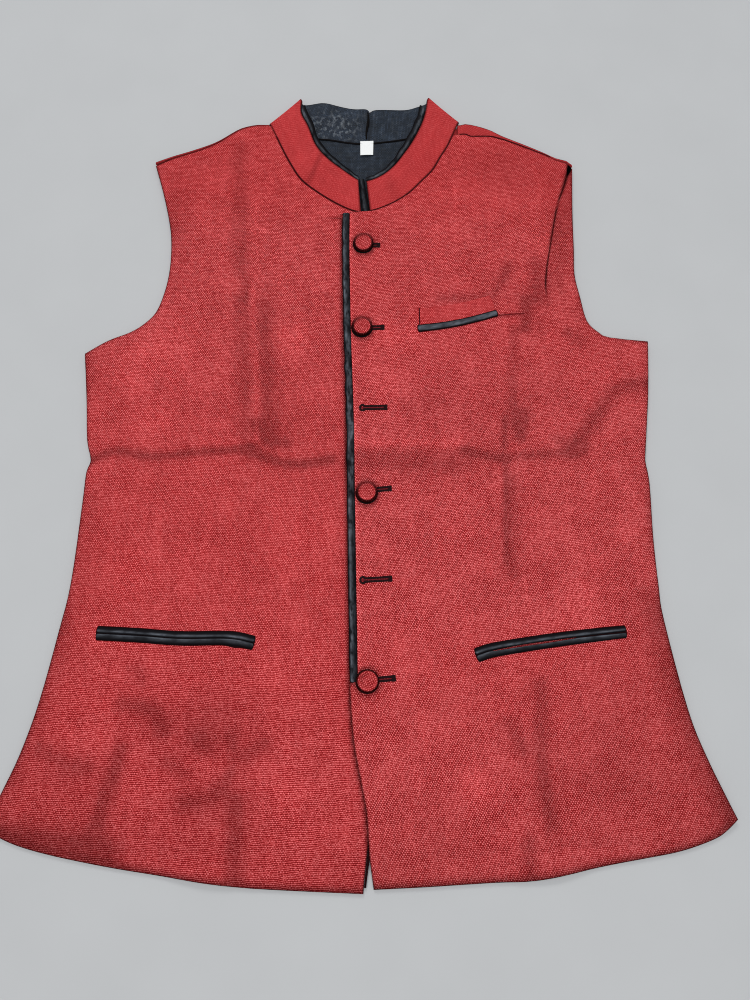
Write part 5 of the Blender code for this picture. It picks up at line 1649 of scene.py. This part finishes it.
class JACKET_OT_pockets(bpy.types.Operator):
    """Make the jets of both lower pockets, and the breast pocket's welt and piping"""

    bl_idname = "jacket.pockets"
    bl_label = "Pockets"

    def execute(self, context):
        for side, height, mouth, ends, swell in (
                ("left", body_height, LEFT_POCKET, 5.4, 0.7),
                ("right", right_height, RIGHT_POCKET, 4.6, 0.0)):
            def width(t, ends=ends, swell=swell):
                return (JET_WIDTH + (ends - JET_WIDTH) * t ** 3
                        + swell * np.exp(-((t - 0.88) / 0.05) ** 2))
            lower = moved_across(mouth, JET_WIDTH + JET_GAP)
            for level, path, lit in (("upper", mouth, UPPER_JET_SHINE),
                                     ("lower", lower, LOWER_JET_SHINE)):
                obj = strip_on(f"satin_{side}_{level}_jet", height, path, width, 1.0, lit)
                finish_piece(obj, slate_satin(), "black_satin", f"pocket_{side}_{level}_jet")
            # A dark strip under both jets: painted shade in the slit and a painted shadow round the
            # satin
            obj = strip_on(f"satin_{side}_slit", height, outline_path(mouth),
                           lambda t: width(t) * 2 + JET_GAP + 2 * TRIM_SHADOW_WIDTH, 0.25)
            finish_piece(obj, dark_outline(), "black_satin")
        # The red weave dimmed to a third: painted shade inside the right pocket's mouth
        peek = resampled(RIGHT_PEEK, 1.5)
        obj = strip_on("cloth_right_peek", right_height, peek,
                       lambda t: 0.3 + 1.5 * np.sin(np.pi * t) ** 0.7, 1.25)
        lay_weave(obj, 8)
        set_values(obj.data, {"tone": 0.0, "rim": 0.0})
        finish_piece(obj, made_once("peeking cloth", red_weave, 0.34), "red_slub_weave")
        welt = moved_across(CHEST_MOUTH, -CHEST_WELT_WIDTH - 0.2)
        obj = strip_on("cloth_chest_welt", right_height, welt,
                       lambda t: CHEST_WELT_WIDTH + 0 * t, 0.55, section=WELT_SECTION)
        lay_weave(obj, -context.scene.jacket_looks.grain_lean + 4)
        set_values(obj.data, {"tone": 0.0, "rim": 0.0, "calm": 0.4})
        finish_piece(obj, red_cloth(), "red_slub_weave", "chest_welt")
        # A dark strip round the chest piping: its painted shadow
        obj = strip_on("satin_chest_edge", right_height, outline_path(CHEST_MOUTH),
                       lambda t: CHEST_PIPING_WIDTH - 0.8 * t + 2 * TRIM_SHADOW_WIDTH, 0.8)
        finish_piece(obj, dark_outline(), "black_satin")
        obj = strip_on("satin_chest", right_height, CHEST_MOUTH,
                       lambda t: CHEST_PIPING_WIDTH - 0.8 * t, 1.3, CHEST_SHINE)
        finish_piece(obj, slate_satin(), "black_satin", "chest_piping")
        return {"FINISHED"}


def lay_weave(obj, degrees):
    """Gives a piece the weave that lies flat across it in plan."""
    mesh = obj.data
    points = np.empty(len(mesh.vertices) * 3)
    mesh.vertices.foreach_get("co", points)
    corners = np.empty(len(mesh.loops), int)
    mesh.loops.foreach_get("vertex_index", corners)
    points = points.reshape(-1, 3)[corners]
    layer = mesh.uv_layers.get("Weave") or mesh.uv_layers.new(name="Weave")
    layer.data.foreach_set("uv", turned(points[:, 0], points[:, 1], degrees).astype("f4").ravel())


# Buttons and buttonholes

def deselect():
    """Back to object mode, with nothing picked."""
    if bpy.context.mode != "OBJECT":
        bpy.ops.object.mode_set(mode="OBJECT")
    bpy.ops.object.select_all(action="DESELECT")


def pick(obj):
    """Picks one object alone."""
    deselect()
    bpy.context.view_layer.objects.active = obj
    obj.select_set(True)


def face_outwards():
    """Turns the faces of the mesh in edit mode outwards, and goes back to object mode."""
    bpy.ops.mesh.select_all(action="SELECT")
    bpy.ops.mesh.normals_make_consistent(inside=False)
    bpy.ops.object.mode_set(mode="OBJECT")


def settle(obj):
    """Moves a modelled piece's place into its mesh."""
    pick(obj)
    bpy.ops.object.transform_apply(location=True, rotation=True, scale=True)
    deselect()


class JACKET_OT_buttons(bpy.types.Operator):
    """Model one cloth-covered button and set a copy of it at each place"""

    bl_idname = "jacket.buttons"
    bl_label = "Buttons"

    def execute(self, context):
        master = self.make_master(context.scene.jacket_looks.button_sides)
        for number, (node, x, y) in enumerate(BUTTONS):
            lowest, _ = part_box(node)
            obj = master.copy()
            obj.data = master.data.copy()
            obj.name = obj.data.name = f"covered_{node}"
            context.scene.collection.objects.link(obj)
            obj.rotation_euler = (*np.radians(BUTTON_TIPS[number]), 0.7 * number)
            obj.location = (x * MM, y * MM, lowest[2])
            settle(obj)
            lay_weave(obj, 12 * number - 20)
            self.shade(obj, x * MM, y * MM)
            finish_piece(obj, made_once("button cloth", red_weave, 0.95), "covered_button", node)
            self.make_ring(f"{node}_shade", x, y)
        bpy.data.objects.remove(master, do_unlink=True)
        return {"FINISHED"}

    def shade(self, obj, x, y):
        """Painted light and shade on the cloth: a paler rim lower right, a painted shadow inside
        the upper left, a faint painted highlight in the middle, a little darker overall, and a dark
        side in painted shade.
        """
        points = np.array([vertex.co for vertex in obj.data.vertices])
        out = np.hypot(points[:, 0] - x, points[:, 1] - y) / (BUTTON_RADIUS * MM)
        up = (points[:, 1] - y) / (out * BUTTON_RADIUS * MM + 1e-9)
        right = (points[:, 0] - x) / (out * BUTTON_RADIUS * MM + 1e-9)
        # The painted shade of the side shifts with the button's height on the front
        lean = 0.15 * (y / MM + 213) / 420 - 0.02
        high_up = ease((y / MM + 200) / 100)
        crown = 0.79 - 0.08 * high_up
        side = 1.2 * ease((out - crown + lean * up - 0.02 * right) / 0.10)
        side *= 1 - 0.4 * np.clip(up, 0, 1) * high_up
        rim = np.exp(-((out - 0.70) / 0.09) ** 2) * (0.16 - 0.10 * up + 0.08 * right)
        facing = np.clip(0.8 * up - 0.5 * right, 0, 1) ** 2
        arc = 0.36 * np.exp(-((out - 0.58) / 0.08) ** 2) * facing
        tone = rim - arc + 0.06 * np.exp(-(out / 0.35) ** 2) - 0.10
        set_values(obj.data, {"tone": tone, "rim": side, "calm": 0.2})

    def make_ring(self, name, x, y):
        """A flat dark ring on the cloth round a button's edge: a painted shadow under that edge."""
        turn = np.linspace(0, 2 * np.pi, 48, endpoint=False)
        width = 0.35 - 0.25 * np.sin(turn) - 0.12 * np.cos(turn)

        def spots(out, up):
            reach = BUTTON_RADIUS + (out * width if out > 0 else out)
            px, py = x + reach * np.cos(turn), y + reach * np.sin(turn)
            return px, py, right_height(px, py) + 0.12 + up

        rings = swept(BUTTON_SHADOW, spots)
        count, points = rings.shape[:2]
        index = np.arange(count * points).reshape(count, points)
        after, beside = np.roll(index, -1, axis=0), np.roll(index, -1, axis=1)
        faces = np.stack([index, beside, np.roll(after, -1, axis=1), after], axis=-1)
        obj = mesh_object(name, rings.reshape(-1, 3), faces.reshape(-1, 4).tolist())
        finish_piece(obj, painted_shade_thread(), "black_satin")

    def make_master(self, sides):
        """One domed button, modelled from a circle."""
        deselect()
        bpy.ops.mesh.primitive_circle_add(
            vertices=sides, radius=BUTTON_SHANK * BUTTON_RADIUS * MM, fill_type="NGON")
        obj = bpy.context.object
        obj.name = "button_master"
        bpy.ops.object.mode_set(mode="EDIT")
        bpy.ops.mesh.select_all(action="SELECT")
        for widen, rise in BUTTON_SIDE:
            bpy.ops.mesh.extrude_region_move(TRANSFORM_OT_translate={"value": (0, 0, rise)})
            bpy.ops.transform.resize(value=(widen, widen, 1))
        for inset, rise in BUTTON_TOP:
            bpy.ops.mesh.inset(thickness=inset)
            bpy.ops.transform.translate(value=(0, 0, rise))
        bpy.ops.mesh.poke()
        face_outwards()
        bpy.ops.object.shade_smooth()
        rounding = obj.modifiers.new("Rounding", "SUBSURF")
        rounding.levels = rounding.render_levels = 1
        bpy.ops.object.modifier_apply(modifier=rounding.name)
        return obj


class JACKET_OT_buttonholes(bpy.types.Operator):
    """Sew the keyhole buttonholes: one stitch, copied down both sides and round the eyelet"""

    bl_idname = "jacket.buttonholes"
    bl_label = "Buttonholes"

    def execute(self, context):
        pitch = context.scene.jacket_looks.stitch_pitch / MM
        stitch = self.make_stitch()
        thread = made_once("black thread", plain_thread, THREAD_SHADE)
        for number, (name, *ends) in enumerate(BUTTONHOLES):
            draw = np.random.default_rng(40 + number)
            obj = joined_mesh(name, stitch.data, self.places(*ends, pitch, draw))
            finish_piece(obj, thread, "black_satin")
            self.make_slit(name, *ends)
        bpy.data.objects.remove(stitch, do_unlink=True)
        return {"FINISHED"}

    def make_stitch(self):
        """One stitch: a short thread whose ends dip into the cloth."""
        deselect()
        bpy.ops.mesh.primitive_cylinder_add(vertices=8, radius=STITCH_RADIUS,
                                            depth=STITCH_LENGTH, rotation=(0, np.pi / 2, 0))
        obj = bpy.context.object
        obj.name = "stitch_master"
        bpy.ops.object.transform_apply(location=True, rotation=True, scale=True)
        bpy.ops.object.mode_set(mode="EDIT")
        for x in (-STITCH_BEND, STITCH_BEND):
            bpy.ops.mesh.select_all(action="SELECT")
            bpy.ops.mesh.bisect(plane_co=(x, 0, 0), plane_no=(1, 0, 0))
        bpy.ops.object.mode_set(mode="OBJECT")
        for vertex in obj.data.vertices:
            vertex.select = abs(vertex.co.x) > 1.4 * STITCH_BEND
        bpy.ops.object.mode_set(mode="EDIT")
        bpy.ops.transform.translate(value=(0, 0, -STITCH_DIP))
        face_outwards()
        return obj

    def places(self, inner, outer, inner_y, outer_y, pitch, draw):
        """A matrix for each stitch, lying across the line of the buttonhole."""
        run = outer - inner
        lean = np.arctan2(outer_y - inner_y, run)
        centre, half_length, half_width = EYELET
        spots = [(x, side * SLIT_ROW, 90.0) for x in np.arange(3.2, run - 0.6, pitch)
                 for side in (-1, 1)]
        spots += [(centre + half_length * np.cos(np.radians(a)),
                   half_width * np.sin(np.radians(a)), a)
                  for a in np.arange(30, 331, 360 * pitch / (2 * np.pi * half_width))]
        spots += [(x, y, 0.0) for x in (run - 0.9, run, run + 0.7)
                  for y in np.arange(-2.4, 2.45, pitch)]
        x, y, angle = np.array(spots).T
        px = inner + x * np.cos(lean) - y * np.sin(lean)
        py = inner_y + x * np.sin(lean) + y * np.cos(lean)
        turn = np.radians(angle + draw.normal(0, 6, len(x))) + lean
        size = draw.uniform(0.9, 1.15, len(x))
        z = right_height(px, py) + 0.30 + draw.normal(0, 0.05, len(x))
        return [((c, -s, 0, ax * MM), (s, c, 0, ay * MM), (0, 0, k, az * MM), (0, 0, 0, 1))
                for c, s, ax, ay, az, k in zip(np.cos(turn) * size, np.sin(turn) * size,
                                               px, py, z, size)]

    def make_slit(self, name, inner, outer, inner_y, outer_y):
        """The raised line of cloth between the stitches, wider in the eyelet."""
        xs = np.linspace(inner + 0.6, outer - 0.6, 24)
        ys = inner_y + (outer_y - inner_y) * (xs - inner) / (outer - inner)
        width = 1.0 + 1.5 * np.exp(-((xs - inner - 2.1) / 1.6) ** 2)

        def spots(across, up):
            y = ys + across * width
            return xs, y, right_height(xs, y) - 0.05 + 0.12 * up

        obj = tube(f"{name}_slit", rounded_ends(swept(SLIT_SECTION, spots), 0.3), 2.0)
        finish_piece(obj, made_once("slit edge", plain_thread, SLIT_SHADE), "black_satin")


# Empty step

class JACKET_OT_cut(bpy.types.Operator):
    """Does nothing: no cut of the cloth is stated"""

    bl_idname = "jacket.cut"
    bl_label = "State the cut"

    def execute(self, context):
        return {"FINISHED"}


# Stage

class JACKET_OT_stage(bpy.types.Operator):
    """Set the pale surface, the soft lights and the camera"""

    bl_idname = "jacket.stage"
    bl_label = "Stage"

    def execute(self, context):
        looks = context.scene.jacket_looks
        deselect()
        bpy.ops.mesh.primitive_plane_add(size=FLOOR_SIZE, location=(0, 0, 0))
        floor = context.object
        floor.name = "surface"
        settle(floor)
        graph = Graph("pale surface", Roughness=0.75)
        place = graph.add("TexCoord", {}).outputs["Object"]
        mottle = graph.noise(place, 14.0, 3.0, 0.5)
        base = np.array(looks.surface)
        floor.data.materials.append(
            graph.colour(graph.ramp(mottle, (0.3, base * 0.985), (0.7, base * 1.015))))
        for row in LIGHTS:
            self.light(*row)
        world = bpy.data.worlds.new("Studio")
        world.use_nodes = True
        background = world.node_tree.nodes["Background"]
        background.inputs["Color"].default_value = SKY
        background.inputs["Strength"].default_value = SKY_STRENGTH
        context.scene.world = world
        view = bpy.data.cameras.new("View")
        view.sensor_width = CAMERA_SENSOR
        view.lens = CAMERA_LENS
        camera = bpy.data.objects.new("View", view)
        camera.location = CAMERA_PLACE
        camera.rotation_euler = (np.radians(CAMERA_TILT), 0, 0)
        context.scene.collection.objects.link(camera)
        context.scene.camera = camera
        context.scene.view_settings.view_transform = "Standard"
        context.scene.cycles.denoising_prefilter = "NONE"
        context.scene.cycles.filter_width = 1.0
        return {"FINISHED"}

    def light(self, name, place, aim, size, power):
        data = bpy.data.lights.new(name, "AREA")
        data.shape = "RECTANGLE"
        data.size, data.size_y = size
        data.energy = power
        lamp = bpy.data.objects.new(name, data)
        lamp.location = place
        lamp.rotation_euler = (Vector(aim) - Vector(place)).to_track_quat("-Z", "Y").to_euler()
        bpy.context.scene.collection.objects.link(lamp)


class JACKET_PT_panel(bpy.types.Panel):
    """Lists the jacket's settings and its operators, in order"""

    bl_label = "Nehru jacket"
    bl_idname = "JACKET_PT_panel"
    bl_space_type = "VIEW_3D"
    bl_region_type = "UI"
    bl_category = "Jacket"

    def draw(self, context):
        for key in JacketLooks.__annotations__:
            self.layout.prop(context.scene.jacket_looks, key)
        for operator in OPERATORS:
            self.layout.operator(operator.bl_idname)


OPERATORS = (JACKET_OT_back, JACKET_OT_fronts, JACKET_OT_collar, JACKET_OT_neck_lining,
             JACKET_OT_collar_piping, JACKET_OT_front_piping, JACKET_OT_seams, JACKET_OT_pockets,
             JACKET_OT_buttons, JACKET_OT_buttonholes, JACKET_OT_cut, JACKET_OT_stage)
CLASSES = (JacketLooks, *OPERATORS, JACKET_PT_panel)


def register():
    for cls in CLASSES:
        bpy.utils.register_class(cls)
    bpy.types.Scene.jacket_looks = PointerProperty(type=JacketLooks)


def unregister():
    del bpy.types.Scene.jacket_looks
    for cls in reversed(CLASSES):
        bpy.utils.unregister_class(cls)


def main():
    register()
    for operator in OPERATORS:
        group, name = operator.bl_idname.split(".")
        getattr(getattr(bpy.ops, group), name)()


if __name__ == "__main__":
    main()
